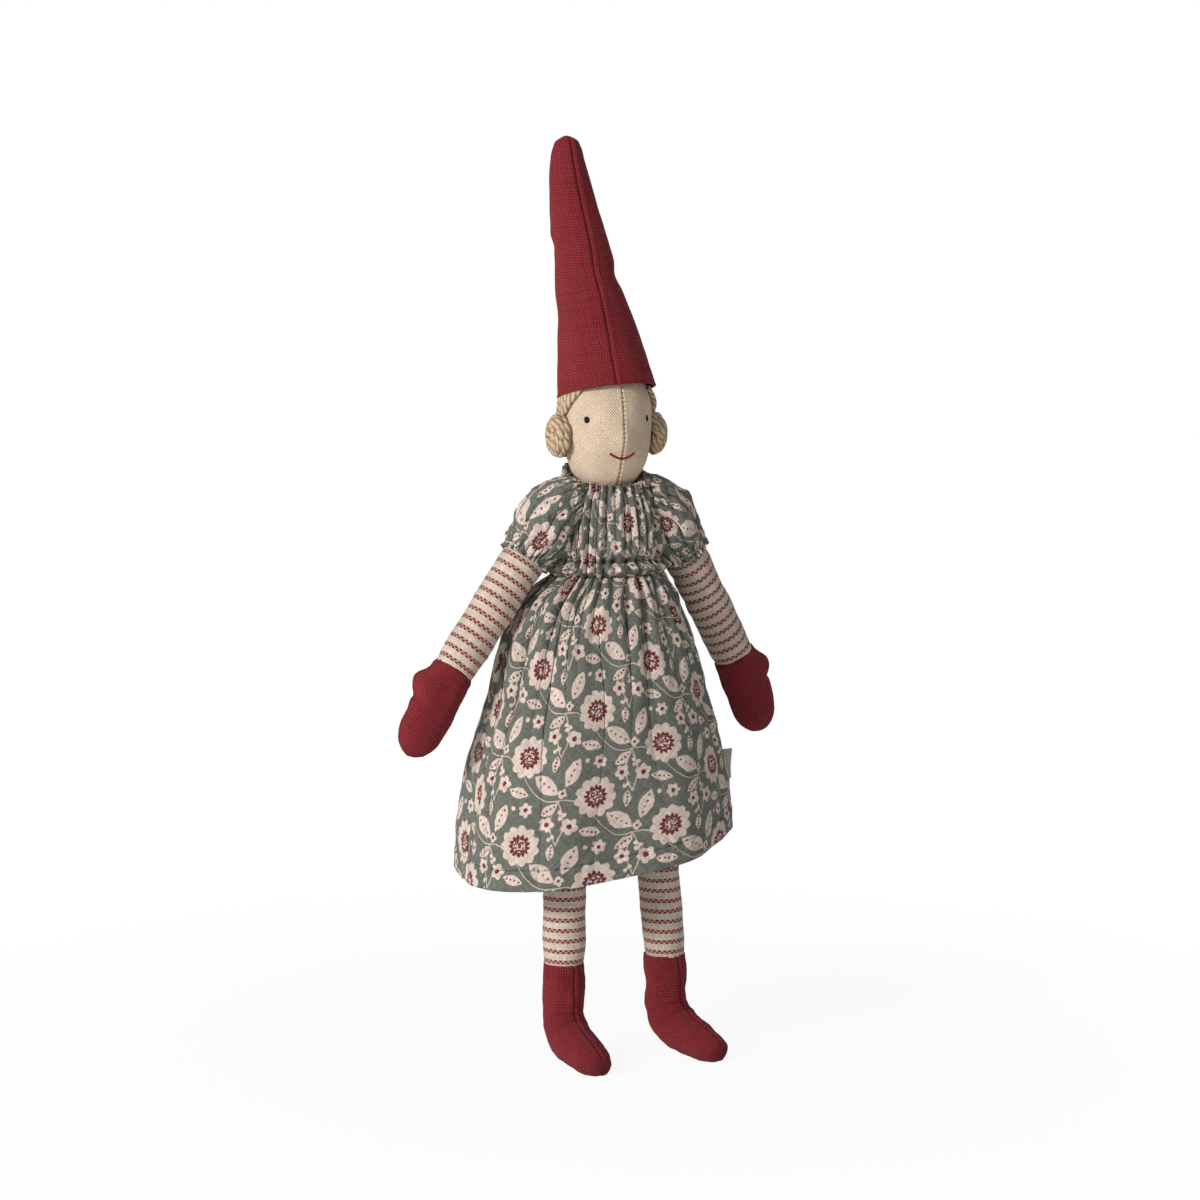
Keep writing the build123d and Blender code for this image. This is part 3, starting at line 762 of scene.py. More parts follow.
def head_point(angle, z, proud=0.0):
    """Point on the head's cloth, at an angle about its axis and a height."""
    angle, z = np.broadcast_arrays(np.asarray(angle, float), np.asarray(z, float))
    r = np.maximum(head_round(z), 0.2)
    x = r * np.cos(angle)
    y = r * np.sin(angle)
    facing = ease(-y / HEAD_R, 0.15, 0.6)
    nose = 1.5 * hump(x, 0, 4.6) * hump(z, NOSE_Z, 6.5)
    cheeks = 0.9 * hump(np.abs(x), 9.0, 4.6) * hump(z, CHEEK_Z, 6.0)
    eye_dimples = -1.3 * hump(np.abs(x), EYE_X, 2.6) * hump(z, EYE_Z, 3.6)
    mouth_dimple = -0.5 * hump(x, 0, 7.0) * hump(z, MOUTH_Z - 1.0, 2.4)
    bulge = nose + cheeks + eye_dimples + mouth_dimple
    groove = -0.55 * hump(x, 0, 0.30) + 0.16 * hump(np.abs(x), 1.0, 0.7)
    lumps = 0.22 * relief(points_of(x, y, z), 15.0, 4, 2)
    r = r + bulge * facing + groove + lumps + proud
    return points_of(r * np.cos(angle), r * np.sin(angle), z)


def make_head():
    """The whole head: two panels that meet in a seam down the face and the back."""
    z = HEAD_Z + HEAD_H * (0.5 + 0.5 * np.cos(PI * np.linspace(0, 1, 150)))
    turn = seam_spaced(380)
    grid = head_point(FRONT + turn[None, :], z[:, None])
    cloth = laid_from_seam(turn, head_round(z), path_length(grid[:, 0]))
    head = surface("head_cloth", grid, cloth, closed=True, caps=(True, True))
    finish_mesh(head, "plain_cloth", "head")
    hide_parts("head_left", "head_right", "head_stuffing")


def normal_on_head(angle, z):
    """Direction straight out of the head's cloth."""
    here = head_point(angle, z)
    right = head_point(angle + 0.02, z) - here
    up = head_point(angle, z + 0.3) - here
    return unit(np.cross(right, up))


def angle_at(x, z):
    """Angle of the point of the face that is x to the side at height z."""
    return FRONT + np.arcsin(np.clip(x / head_round(z), -1, 1))


def make_eye(side):
    """Satin-stitched oval, domed out of the cloth."""
    rho = np.linspace(1, 0.02, 9)[:, None]
    phi = around(36)[None, :]
    x = SIDES[side] * EYE_X + EYE_HALF[0] * rho * np.cos(phi)
    z = EYE_Z + EYE_HALF[1] * rho * np.sin(phi)
    angle = angle_at(x, z)
    dome = 0.62 * np.sqrt(np.clip(1 - rho**2, 0, 1)) + 0.04 * np.sin(z * 12.0) - 0.12
    grid = head_point(angle, z) + normal_on_head(angle, z) * dome[..., None]
    flat = np.stack(np.broadcast_arrays(z, x), axis=2)
    cloth = np.concatenate([flat, flat[:, :1]], axis=1)
    eye = surface(f"eye_thread_{side}", grid, cloth, closed=True, caps=(False, True))
    finish_mesh(eye, "black_thread", "head")
    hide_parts(f"eye_{side}")


def make_mouth():
    """One curved stitch whose ends go into the cloth."""
    x = np.linspace(-MOUTH_HALF, MOUTH_HALF, 40)
    z = MOUTH_Z - MOUTH_DIP * (1 - (x / MOUTH_HALF) ** 2)
    angle = angle_at(x, z)
    path = head_point(angle, z, 0.22)
    for end in (0, -1):
        path[end] = head_point(angle[end], z[end], -0.5)
    mouth = tubes("mouth_thread", [path], 0.42, "red_thread", "head", 10)
    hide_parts("mouth_stitch")


def make_face_seam():
    """Small ladder stitches along the seam down the middle of the face and the back."""
    paths = []
    tilt = 0.3
    apart = 1.7
    half_length = 0.85
    for turn in (0.0, PI):
        for z in np.arange(HEAD_Z + 3.0, HEAD_Z + 0.86 * HEAD_H, apart):
            half = half_length / head_round(z)
            span = np.linspace(-1, 1, 5)
            line = head_point(FRONT + turn + half * span, z + tilt * span, 0.10)
            for end, sign in ((0, -1), (-1, 1)):
                line[end] = head_point(FRONT + turn + sign * half * 1.2, z + sign * tilt, -0.25)
            paths.append(line)
    seam = tubes("face_seam_stitches", paths, 0.16, "sewing_thread", "head", 6)


# --- Hair --------------------------------------------------------------------------------------
BUN_LOW, BUN_HIGH = extent("bun_left")
BUN_LIFT = 2.0                        # the photo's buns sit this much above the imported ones
BUN_MID = np.array([19.6, 0.0, (BUN_LOW[2] + BUN_HIGH[2]) / 2 + BUN_LIFT])
BUN_SIZE = (BUN_HIGH - BUN_LOW) / 2
BUN_TURNS = 2.6


def hair_starts(rng):
    """Angle from the front and height of each strand's start: under the hat, then the parting."""
    top_z = HEAD_Z + 0.80 * HEAD_H
    drop = 4.6                        # of the hat's rim, from its middle to its back
    starts = []
    for turn in np.radians(57 + 123 * np.arange(26) / 25):
        starts.append((turn, top_z + drop * np.cos(turn) - 1.0))
    for k in range(16):
        starts.append((np.radians(179 - 1.5 * rng.uniform()), top_z - drop - 1.35 * k))
    return starts


def make_hair():
    """Strands from under the hat and from the parting at the back, drawn into each bun."""
    rng = np.random.default_rng(21)
    t = np.linspace(0, 1, 22)
    paths = []
    for sign in SIDES.values():
        starts = hair_starts(rng)
        for k, (turn, start_z) in enumerate(starts):
            end_z = BUN_MID[2] + 6.5 * np.cos(PI * k / (len(starts) - 1))
            angle = FRONT + sign * (turn + (PI / 2 - turn) * t**0.9)
            sag = -1.2 * np.sin(PI * t) * (0.4 + rng.uniform() * 0.6)
            z = start_z + (end_z - start_z) * t**1.1 + sag
            proud = 0.75 + 0.35 * rng.uniform() + 0.5 * np.sin(PI * t) * rng.uniform()
            spot = head_point(angle, z)
            radial = unit(spot * np.array([1, 1, 0]))
            lift = proud + 1.3 * ease(t, 0.75, 1.0)
            paths.append(spot + radial * lift[:, None] + rng.normal(size=3) * 0.05)
    hair = tubes("hair_yarn", paths, 0.95, "yarn", "head", 8)
    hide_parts("hair")


def make_bun(side):
    """A coil of yarn wound round and round, with loops laid over it."""
    sign = SIDES[side]
    rng = np.random.default_rng(31 + sign)
    middle = BUN_MID * np.array([sign, 1, 1])
    half = BUN_SIZE * (0.80, 0.76, 0.82)
    t = np.linspace(0, 1, 200)
    lift = -0.7 + 2.2 * t
    ring = np.sqrt(np.clip(1 - (lift / 1.62) ** 2, 0.02, 1))
    spin = 2 * PI * BUN_TURNS * t
    wave = 1 + 0.05 * np.sin(7 * spin + 1.0)
    coil = points_of(sign * lift * 0.62, ring * np.cos(spin) * wave, ring * np.sin(spin) * wave)
    paths = [middle + coil * half]
    spin = np.linspace(0, 2 * PI, 48)[:, None]
    for _ in range(5):
        tilt = np.array([0.35 * rng.normal() + 0.25, rng.normal() * 0.5, rng.normal() * 0.5])
        tilt = unit(tilt + [0.9, 0, 0])
        first = unit(np.cross(tilt, [0, 0.3, 1]))
        second = np.cross(tilt, first)
        size = rng.uniform(0.55, 1.0)
        height = np.sqrt(1 - size**2 * 0.9)
        loop = (first * np.cos(spin) + second * np.sin(spin)) * size + tilt * height * 0.9
        paths.append(middle + loop * half * np.array([sign, 1, 1]) * 1.02)
    bun = tubes(f"bun_yarn_{side}", paths, 1.85, "yarn", "head", 12)
    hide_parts(f"bun_{side}")


# --- Hat -----------------------------------------------------------------------------------------
HAT_RIM_R = HEAD_R * 1.075
HAT_TILT = np.radians(12.5)           # of the rim, higher in front
HAT_ROLL = 0.045                      # slope of the rim, higher on the doll's left
BRIM_Z = HAT_LOW[2] + HAT_RIM_R * np.sin(HAT_TILT) + 2.0
HAT_HEIGHT = HAT_HIGH[2] - BRIM_Z
HAT_LEAN = (-13.0, 11.0)              # how far the tip leans sideways and back
# Shares of the hat's height; at each the cloth's size, lean and tilt as shares of their whole.
HAT_SHARES = (0, 0.17, 0.34, 0.46, 0.57, 0.74, 0.90, 0.955, 0.985, 1.0)
HAT_SIZES = (1.0, 0.873, 0.715, 0.625, 0.575, 0.475, 0.355, 0.285, 0.185, 0.03)
HAT_OFFS = (0, 0.16, 0.35, 0.51, 0.61, 0.80, 0.92, 0.94, 0.95, 0.95)
HAT_TILTS = (1.0, 0.8, 0.7, 0.6, 0.5, 0.5, 0.5, 0.5, 0.5, 0.5)
HAT_EDGE = (                          # rows of the folded rim: below the edge, out from the cloth
    (0.4, 0.30), (0.75, 0.15), (0.95, -0.25), (0.8, -0.85), (0.2, -1.2), (-1.5, -1.35), (-5.0, -1.4),
)
HAT_CREASES = (
    # share of the height, angle from the front, slope, depth, width
    (0.445, 95, 0.05, 0.95, 4.0), (0.50, -70, -0.10, 0.35, 4.0), (0.36, 150, 0.10, 0.5, 3.5),
    (0.56, -150, 0.08, 0.7, 3.0), (0.30, -100, -0.06, 0.45, 5.0), (0.74, 150, 0.10, 0.4, 3.0),
)


def hat_creases(up, turn):
    """Depth of the soft creases across the stuffed cone, each with a roll below it."""
    crease = 0.0
    for share, face, slope, depth, width in HAT_CREASES:
        towards = ease(np.cos(turn - np.radians(face)), 0.05, 0.9)
        line = (up - share) * HAT_HEIGHT - slope * 20 * np.sin(turn - np.radians(face))
        crease = crease - depth * hump(line, 0, width) * towards
        crease = crease + depth * 0.45 * hump(line, 1.7 * width, width) * towards
    return crease


def hat_point(up, turn, out=0.0):
    """Point of the hat's cloth: share of its height, angle from its front seam."""
    up, turn = np.broadcast_arrays(np.asarray(up, float), np.asarray(turn, float))
    size = flow(up, HAT_SHARES, HAT_SIZES) * HAT_RIM_R
    off = flow(up, HAT_SHARES, HAT_OFFS)
    tilt = flow(up, HAT_SHARES, HAT_TILTS) * HAT_TILT
    twist = np.radians(-9.0) * (1 - ease(up, 0.0, 0.7))
    angle = FRONT + turn + twist
    r = size + hat_creases(up, turn) * np.clip(size / 9, 0.2, 1) + out
    from_seam = np.minimum(np.abs(turn), np.minimum(np.abs(turn - 2 * PI), np.abs(turn - PI))) * size
    r = r - 0.55 * hump(from_seam, 0, 0.5) + 0.22 * hump(from_seam, 1.5, 0.9)
    spot = points_of(r * np.cos(angle), r * np.sin(angle), up * HAT_HEIGHT)
    r = r + 0.20 * relief(spot, 24.0, 9, 3) * ease(size, 0.5, 6.0)
    x = r * np.cos(angle) + HAT_LEAN[0] * off
    y = r * np.sin(angle) * np.cos(tilt) + HAT_LEAN[1] * off
    z = BRIM_Z + HAT_HEIGHT * up - r * np.sin(angle) * np.sin(tilt)
    z = z + HAT_ROLL * r * np.cos(angle) * (1 - up)
    return points_of(x, y, z)


def make_hat():
    """Two panels of the hat, with its rim folded in under the edge."""
    turn = seam_spaced(300)
    rise = 1 - np.linspace(0, 1, 230) ** 1.15
    body = hat_point(rise[:, None], turn[None, :])
    rim = np.zeros((1, 1))
    edge = [hat_point(rim, turn[None, :], out) - np.array([0, 0, down]) for down, out in HAT_EDGE]
    grid = np.concatenate([body, *edge])
    wavy = 0.3 * relief(body[-1:], 14.0, 15, 2)[0]
    wavy_rows = len(edge) + 10
    grid[-wavy_rows:, :, 2] += np.linspace(0, 1, wavy_rows)[:, None] * wavy[None, :]
    sizes = np.concatenate([flow(rise, HAT_SHARES, HAT_SIZES), np.ones(len(edge))]) * HAT_RIM_R
    cloth = laid_from_seam(turn, sizes, path_length(grid[:, 60]))
    hat = surface("hat_cloth", grid, cloth, closed=True, caps=(True, False))
    finish_mesh(hat, "red_cloth", "head")
    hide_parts("hat_left", "hat_right", "hat_stuffing")


# --- Dress -----------------------------------------------------------------------------------------
SKIRT_FLAT = 150.0                    # flat width of each skirt panel, in mm
BODICE_FLAT = 118.0                   # width of its print across each bodice panel
PRINT_GAP = 8.0                       # between panels cut side by side from the print
COLLAR_TILT = np.tan(np.radians(14.0))
COLLAR_Z = extent("bodice_front", "bodice_back")[1][2] - 17.2 * COLLAR_TILT
WAIST_PLEATS = 34                     # round the whole waist, the same above and below it
BODICE_DOWN = (0, 6.5, 13.0, 22.0, 28.0, 32.1, 35.5, 38.6)      # below the neckline's middle
BODICE_X = (15.9, 19.0, 20.6, 21.8, 22.6, 21.8, 23.2, 22.2)
BODICE_Y = (16.0, 16.9, 16.6, 17.0, 16.8, 15.2, 16.6, 15.2)
BODICE_MID = (1.7, 0.9, 0.2, 0.0, 0.0, 0.0, 0.0, 0.0)
SHIRRING = (32.1, 38.6)                # of the two gathering threads, below the neckline
SKIRT_DOWN = (0, 4.0, 9.0, 20.0, 46.0, 79.0, 128.0)             # below the waist
SKIRT_X = (22.4, 25.8, 29.4, 35.0, 43.4, 52.6, 57.4)
SKIRT_Y = (15.0, 19.5, 22.0, 25.0, 30.4, 35.4, 38.4)
SKIRT_OFF = (0, -1.2, -2.2, -2.6, -2.4, -2.4, -3.0)             # the middle moves to -X and +Y


def neckline(y):
    """Height of the dress's top edge, which rises to the back."""
    return COLLAR_Z + COLLAR_TILT * y


def panel_turns(facing, columns):
    """Angles about the axis across the front (-1) or the back (+1) panel, from seam to seam."""
    first = PI if facing < 0 else 0.0
    return first + np.linspace(0, PI, columns)


def swell(spot, turn, amount):
    """Move points straight out from the doll's axis."""
    return spot + points_of(amount * np.cos(turn), amount * np.sin(turn), 0.0)


def bodice_point(u, turn, out=0.0):
    """u is the share of the way down from the neckline to the waist."""
    down = u * BODICE_DOWN[-1]
    a = flow(down, BODICE_DOWN, BODICE_X)
    b = flow(down, BODICE_DOWN, BODICE_Y)
    mid = flow(down, BODICE_DOWN, BODICE_MID)
    share = np.mod(turn / (2 * PI), 1.0)
    fine = gathers(share, WAIST_PLEATS, 51, 0.8)
    coarse = gathers(share, 22, 52)
    loose = gathers(share, 13, 53)
    pinch = hump(down, 2.4, 1.7) + hump(down, SHIRRING[0], 1.5) + hump(down, SHIRRING[1], 1.7)
    pinch = np.clip(pinch, 0, 1)
    between = hump(down, 35.3, 2.0)
    depth = 1.5 * fine * (0.5 + 0.9 * np.maximum(pinch, between))
    depth = depth + 1.5 * np.minimum(coarse, 0.5) * (1 - 0.7 * pinch) * hump(down, 17, 18)
    depth = depth + 1.0 * loose * hump(down, 20, 10) + 0.8 * between - 1.2 * pinch
    depth = depth + 0.7 * np.clip(fine, 0, 1) * hump(down, 0.0, 1.6)
    x = (a + depth + out) * np.cos(turn)
    y = (b + depth + out) * np.sin(turn) + mid
    top = neckline(y)
    z = top + (WAIST_Z - top) * u
    spot = points_of(x, y, z)
    return swell(spot, turn, 0.35 * relief(spot, 9.0, 61, 3))


def make_bodice():
    """Front and back panels above the waist, gathered at the neckline and on two threads."""
    for name, facing in (("front", -1), ("back", 1)):
        turn = panel_turns(facing, 330)
        u = np.linspace(0, 1, 110)
        grid = bodice_point(u[:, None], turn[None, :])
        cloth = laid_out(grid)
        cloth[..., 0] *= BODICE_FLAT / cloth[..., 0].max()
        cloth[..., 0] += 6.0 if facing < 0 else 131.0
        panel = surface(f"bodice_cloth_{name}", grid, cloth)
        finish_mesh(panel, "dress_cloth", "torso")
        thicken(panel, 0.45)
        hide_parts(f"bodice_{name}")


HEM_SLOPE = (0.16, 0.13)              # the hem hangs higher on the doll's left and behind
HEM_Z_MID = HEM_LOW + HEM_SLOPE[0] * 46.0 + HEM_SLOPE[1] * 26.0 + 2.6


def hem_height(x, y):
    """Height of the slanting hem over a place on the floor."""
    return HEM_Z_MID + HEM_SLOPE[0] * x + HEM_SLOPE[1] * y


def skirt_point(u, turn, out=0.0):
    """u is the share of the way down from the waist to the hem."""
    u, turn = np.broadcast_arrays(np.asarray(u, float), np.asarray(turn, float))
    hem_x = SKIRT_OFF[-1] + 55.0 * np.cos(turn)
    hem_y = -SKIRT_OFF[-1] + 37.5 * np.sin(turn)
    drop = WAIST_Z - hem_height(hem_x, hem_y)
    down = u * drop
    a = flow(down, SKIRT_DOWN, SKIRT_X)
    b = flow(down, SKIRT_DOWN, SKIRT_Y)
    off = flow(down, SKIRT_DOWN, SKIRT_OFF)
    share = np.mod(turn / (2 * PI), 1.0)
    bend = share + 0.006 * np.sin(down / 17.0 + 6 * share * 2 * PI)
    fine = gathers(share, WAIST_PLEATS, 51, 0.8)
    folds = gathers(bend, 21, 72)
    broad = gathers(bend, 11, 73, 1.2)
    waves = np.sin(2 * PI * (5 * share + 0.13)) + 0.6 * np.sin(2 * PI * (8 * share + 0.4) + down / 40)
    depth = 1.9 * fine * np.exp(-down / 16.0)
    depth = depth + 2.5 * folds * ease(down, 0, 8) * np.exp(-np.clip(down - 8, 0, None) / 26.0)
    depth = depth + 2.3 * broad * ease(down, 2, 26) * np.exp(-np.clip(down - 26, 0, None) / 55.0)
    depth = depth + 1.3 * waves * ease(down, 20, 100)
    depth = depth - 0.35 * hump(down, 0.0, 1.2)
    past_seam = np.mod(turn, PI)
    seam = np.minimum(past_seam, PI - past_seam) * a
    depth = depth - 0.7 * hump(seam, 0, 1.0)
    hem = drop - down
    depth = depth - 0.25 * hump(hem, 8.0, 0.7) + 0.25 * (hem < 8.0)
    puckers = np.sin(turn * 60 + 2 * np.sin(turn * 9)) * 0.16 * hump(hem, 7.0, 5.0)
    x = (a + depth + puckers + out) * np.cos(turn) + off
    y = (b + depth + puckers + out) * np.sin(turn) - off
    spot = points_of(x, y, WAIST_Z - down)
    return swell(spot, turn, 0.45 * relief(spot, 17.0, 63, 3) * ease(down, 0, 10))


def bend_skirt(piece):
    """Bake the piece's place into its mesh."""
    start = np.array([0.0, 0.0, HIP_Z + 18.0])
    pull = np.array([0.0, -0.0116, -0.0073])      # share of the legs gained per mm
    end = start + pull / (pull @ pull)
    placed(start)
    placed(end)
    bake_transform(piece)


def make_skirt():
    """Front and back panels below the waist, with a seam down each side and a stitched hem."""
    for name, facing in (("front", -1), ("back", 1)):
        turn = panel_turns(facing, 460)
        u = np.linspace(0, 1, 260) ** 1.12
        grid = skirt_point(u[:, None], turn[None, :])
        across = SKIRT_FLAT * ((turn - turn[0]) / PI - 0.5)
        cloth = np.stack(np.broadcast_arrays(across, depth_down(grid)[:, None]), axis=2)
        cloth += (0.0 if facing < 0 else SKIRT_FLAT + PRINT_GAP, 44.0)
        panel = surface(f"skirt_cloth_{name}", grid, cloth)
        finish_mesh(panel, "dress_cloth")
        thicken(panel, 0.5)
        bend_skirt(panel)
        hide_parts(f"skirt_{name}")


def make_dress_threads():
    """Shirring threads of the waist, and the elastic behind the neckline's gathers."""
    turn = np.linspace(0, 2 * PI, 400)
    shares = [min(down / BODICE_DOWN[-1], 0.995) for down in SHIRRING]
    paths = [bodice_point(share, turn, -0.02) for share in shares]
    rows = tubes("waist_threads", paths, 0.14, "grey_thread", "torso", 6, (0, 0, 1))
    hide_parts("waist_elastic")
    ring = bodice_point(2.6 / BODICE_DOWN[-1], turn, -1.3)
    neck = tubes("neck_band", [ring], 0.45, "elastic", "torso", 8, (0, 0, 1))
    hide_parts("neck_elastic")


TAG_DROP = 4.5                        # the photo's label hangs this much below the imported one


def make_tag():
    """Blank woven label, folded and sewn into the side seam."""
    low, high = extent("dress_tag")
    middle = (low + high) / 2
    z = np.linspace(high[2], low[2], 30)[:, None] - TAG_DROP
    turn = around(28)
    half = (high[0] - low[0]) / 2 + 1.8
    x = middle[0] + 0.8 + half * np.sign(np.cos(turn)) * np.abs(np.cos(turn)) ** 0.35
    y = middle[1] + 0.42 * np.sin(turn)
    curl = 0.8 * ((x - low[0]) / 6.0) ** 2
    grid = points_of(x + 0.25 * np.sin(z / 3.1), y + curl + 0.35 * np.sin(z / 4.0), z)
    tag = surface("blank_label", grid, laid_out(grid, True), closed=True, caps=(True, True))
    finish_mesh(tag, "label_tape")
    bend_skirt(tag)
    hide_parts("dress_tag")


# --- Body bag, neck and hip seam ---------------------------------------------------------------------
def make_torso():
    """The stuffed bag of the body, under the dress."""
    low, high = extent("torso_front", "torso_back")
    share = np.linspace(1, 0, 70)[:, None]
    z = low[2] + (high[2] - low[2]) * share
    a = flow(share, (0, 0.1, 0.3, 0.6, 0.78, 0.92, 1.0), (24.2, 24.2, 23.0, 19.8, 16.6, 14.0, 8.2))
    b = flow(share, (0, 0.07, 0.2, 0.5, 0.78, 0.92, 1.0), (1.6, 6.2, 10.5, 12.5, 11.0, 9.4, 7.6))
    turn = around(120)
    grid = points_of(a * np.cos(turn), b * np.sin(turn), z)
    bag = surface("body_cloth", grid, laid_out(grid, True), closed=True, caps=(True, True))
    finish_mesh(bag, "plain_cloth", "torso")
    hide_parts("torso_front", "torso_back", "torso_stuffing")


def make_neck_thread():
    """Hand stitches that zigzag round the neck."""
    low, high = extent("neck_stitch")
    turn = np.linspace(0, 2 * PI, 90)
    mid = (low + high) / 2
    half = (high - low) / 2
    x = mid[0] + (half[0] - 0.5) * np.cos(turn)
    y = mid[1] + (half[1] - 0.5) * np.sin(turn)
    z = mid[2] + half[2] * 0.55 * np.sin(turn * 14)
    neck = tubes("neck_thread", [points_of(x, y, z)], 0.5, "sewing_thread", "neck", 8, (0, 0, 1))
    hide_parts("neck_stitch")


def make_shoulder_thread(side):
    """Hand stitches round the top of the arm, nine across and back."""
    low, high = extent(f"shoulder_stitch_{side}")
    mid = (low + high) / 2
    crossings = 9
    t = np.linspace(0, 2 * PI * crossings, 260)
    r = (high[2] - low[2]) / 2 - 0.35
    x = mid[0] + (high[0] - low[0]) * 0.35 * np.sin(t)
    path = points_of(x, mid[1] + r * np.cos(t / crossings), mid[2] + r * np.sin(t / crossings))
    name = f"shoulder_thread_{side}"
    stitch = tubes(name, [path], 0.3, "sewing_thread", f"shoulder_{side}", 6, (0.2, 0.9, 0.1))
    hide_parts(f"shoulder_stitch_{side}")


def make_hip_cloth():
    """The folded edge of the body bag that both legs hang from."""
    low, high = extent("hip_seam")
    x = np.linspace(low[0], high[0], 90)[:, None]
    turn = around(40)
    r = (high[2] - low[2]) / 2 * (0.92 + 0.06 * np.sin(x * 1.9))
    grid = points_of(x, r * np.cos(turn), HIP_Z - r * np.sin(turn))
    seam = surface("hip_cloth", grid, laid_out(grid, True), closed=True, caps=(True, True))
    finish_mesh(seam, "plain_cloth", "hips")
    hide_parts("hip_seam")


# --- Arms, sleeves and mittens ------------------------------------------------------------------------
JOINTS = {joint["name"]: joint for joint in frame["joints"]}


def mesh_points(node):
    """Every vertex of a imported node, in mm on the doll's axis."""
    mesh = frame["nodes"][node].data
    flat = np.empty(len(mesh.vertices) * 3)
    mesh.vertices.foreach_get("co", flat)
    return own(flat.reshape(-1, 3))


def arm_frame(side):
    """Shoulder point, direction down the arm, direction away from the body, and front."""
    sign = SIDES[side]
    shoulder = own(JOINTS[f"arm_{side}_raise"]["pos_m"])
    down = unit(mesh_points(f"arm_skin_{side}").mean(axis=0) - shoulder)
    fore = np.array([0.0, -1.0, 0.0])
    fore = unit(fore - down * (fore @ down))
    out = np.cross(fore, down) * -sign
    if out[0] * sign < 0:
        out = -out
    return shoulder, down, out, fore


ARM = 66.0                            # from the shoulder to the wrist seam
CUFF_R = 9.05                         # of the elastic round the upper arm
ARM_CREASES = ((24, 200, 0.5), (33, 150, 0.45), (44, 230, 0.4), (18, 40, 0.4))
# Each crease: how far down the arm, angle round it from the outer side, depth.


def limb(shoulder, down, out, fore, along, half_out, half_fore, centre_out, turn):
    """Grid of points round a limb, rows along it and columns about it from its outer side,
    and the middle of each row."""
    core = shoulder + down * along[:, None] + out * centre_out[:, None]
    ring = out * (half_out[:, None] * np.cos(turn))[..., None]
    ring = ring + fore * (half_fore[:, None] * np.sin(turn))[..., None]
    return core[:, None] + ring, core[:, None]


def push(grid, middle, amount):
    """Move a limb's points in or out from the middle of their row."""
    return grid + unit(grid - middle) * amount[..., None]


def make_arm(side):
    """Striped cloth tube, stuffed, down to the wrist."""
    sign = SIDES[side]
    shoulder, down, out, fore = arm_frame(side)
    turn = around(130) * -sign
    along = np.linspace(-6.5, ARM + 0.3, 190)
    marks = (-8, -5, -1, 6, 30, 60, ARM - 2.5, ARM + 0.3)
    size = flow(along, marks, (2.5, 6.5, 8.4, 8.6, 8.6, 8.3, 8.25, 7.7))
    straight = np.zeros(len(along))
    grid, middle = limb(shoulder, down, out, fore, along, size, size, straight, turn)
    lumps = 0.34 * relief(grid, 13.0, 80 + sign, 3)
    for at, face, depth in ARM_CREASES:
        facing = turn - np.radians(face)
        line = along[:, None] - at - 2.5 * np.sin(facing)
        lumps = lumps - depth * hump(line, 0, 1.7) * ease(np.cos(facing), 0.1, 0.9)
    grid = push(grid, middle, lumps)
    cloth = laid_out(grid, True)
    cloth[..., 1] += 1.2 + 0.5 * np.cos(np.linspace(0, 2 * PI, len(turn) + 1))
    arm = surface(f"arm_cloth_{side}", grid, cloth, closed=True, caps=(True, False))
    finish_mesh(arm, "striped_arm", f"arm_{side}")
    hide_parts(f"arm_skin_{side}", f"arm_stuffing_{side}")


# The mitten's outline: below the wrist, half its width, half its thickness.
MITTEN_DOWN = (-1.0, 0.3, 3.0, 7.0, 11.0, 15.0, 21.0, 27.0, 31.5, 34.5, 36.0, 36.6)
MITTEN_OUT = (7.5, 8.3, 8.6, 9.1, 9.5, 9.5, 9.3, 8.6, 6.9, 4.5, 2.1, 0.1)
MITTEN_FORE = (7.5, 8.2, 8.1, 7.6, 7.2, 6.9, 6.8, 6.3, 5.1, 3.3, 1.6, 0.1)


def make_mitten(side):
    """Mitten hand with a short thumb on its outer side, in two panels."""
    sign = SIDES[side]
    shoulder, down, out, fore = arm_frame(side)
    turn = around(170)
    turn = (turn - 0.30 * np.sin(2 * turn)) * -sign
    t = np.linspace(0, 1, 150)
    d = MITTEN_DOWN[0] + (MITTEN_DOWN[-1] - MITTEN_DOWN[0]) * (1 - (1 - t) ** 1.35)
    half_out = flow(d, MITTEN_DOWN, MITTEN_OUT)
    half_fore = flow(d, MITTEN_DOWN, MITTEN_FORE)
    centre = -2.2 * ease(d, 4, 36)
    grid, middle = limb(shoulder, down, out, fore, d + ARM, half_out, half_fore, centre, turn)
    away = np.cos(turn)
    thumb = 2.7 * hump(d, 9.6, 4.6)[:, None] * ease(away, 0.25, 1.0)
    crotch = -0.9 * hump(d, 15.8, 1.5)[:, None] * ease(away, 0.35, 0.95)
    edge = np.abs(np.sin(turn)) * half_out[:, None]
    seam = (-0.45 * hump(edge, 0, 0.5) + 0.15 * hump(edge, 1.4, 0.9)) * ease(half_out, 2, 6)[:, None]
    lumps = 0.34 * relief(grid, 11.0, 90 + sign, 3) * ease(half_out, 1.0, 6.0)[:, None]
    shape = (thumb + crotch + lumps) * ease(half_out, 0.2, 4.0)[:, None]
    grid = push(grid, middle, shape + seam)
    cloth = laid_out(grid, True)
    cols = len(turn)
    half = cols // 2
    for name, first_half in (("front", sign < 0), ("back", sign > 0)):
        span = np.arange(half + 1) if first_half else np.arange(half, cols + 1)
        piece = surface(f"mitten_cloth_{name}_{side}", grid[:, span % cols], cloth[:, span])
        finish_mesh(piece, "red_cloth", f"arm_{side}")
        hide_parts(f"mitten_{name}_{side}")


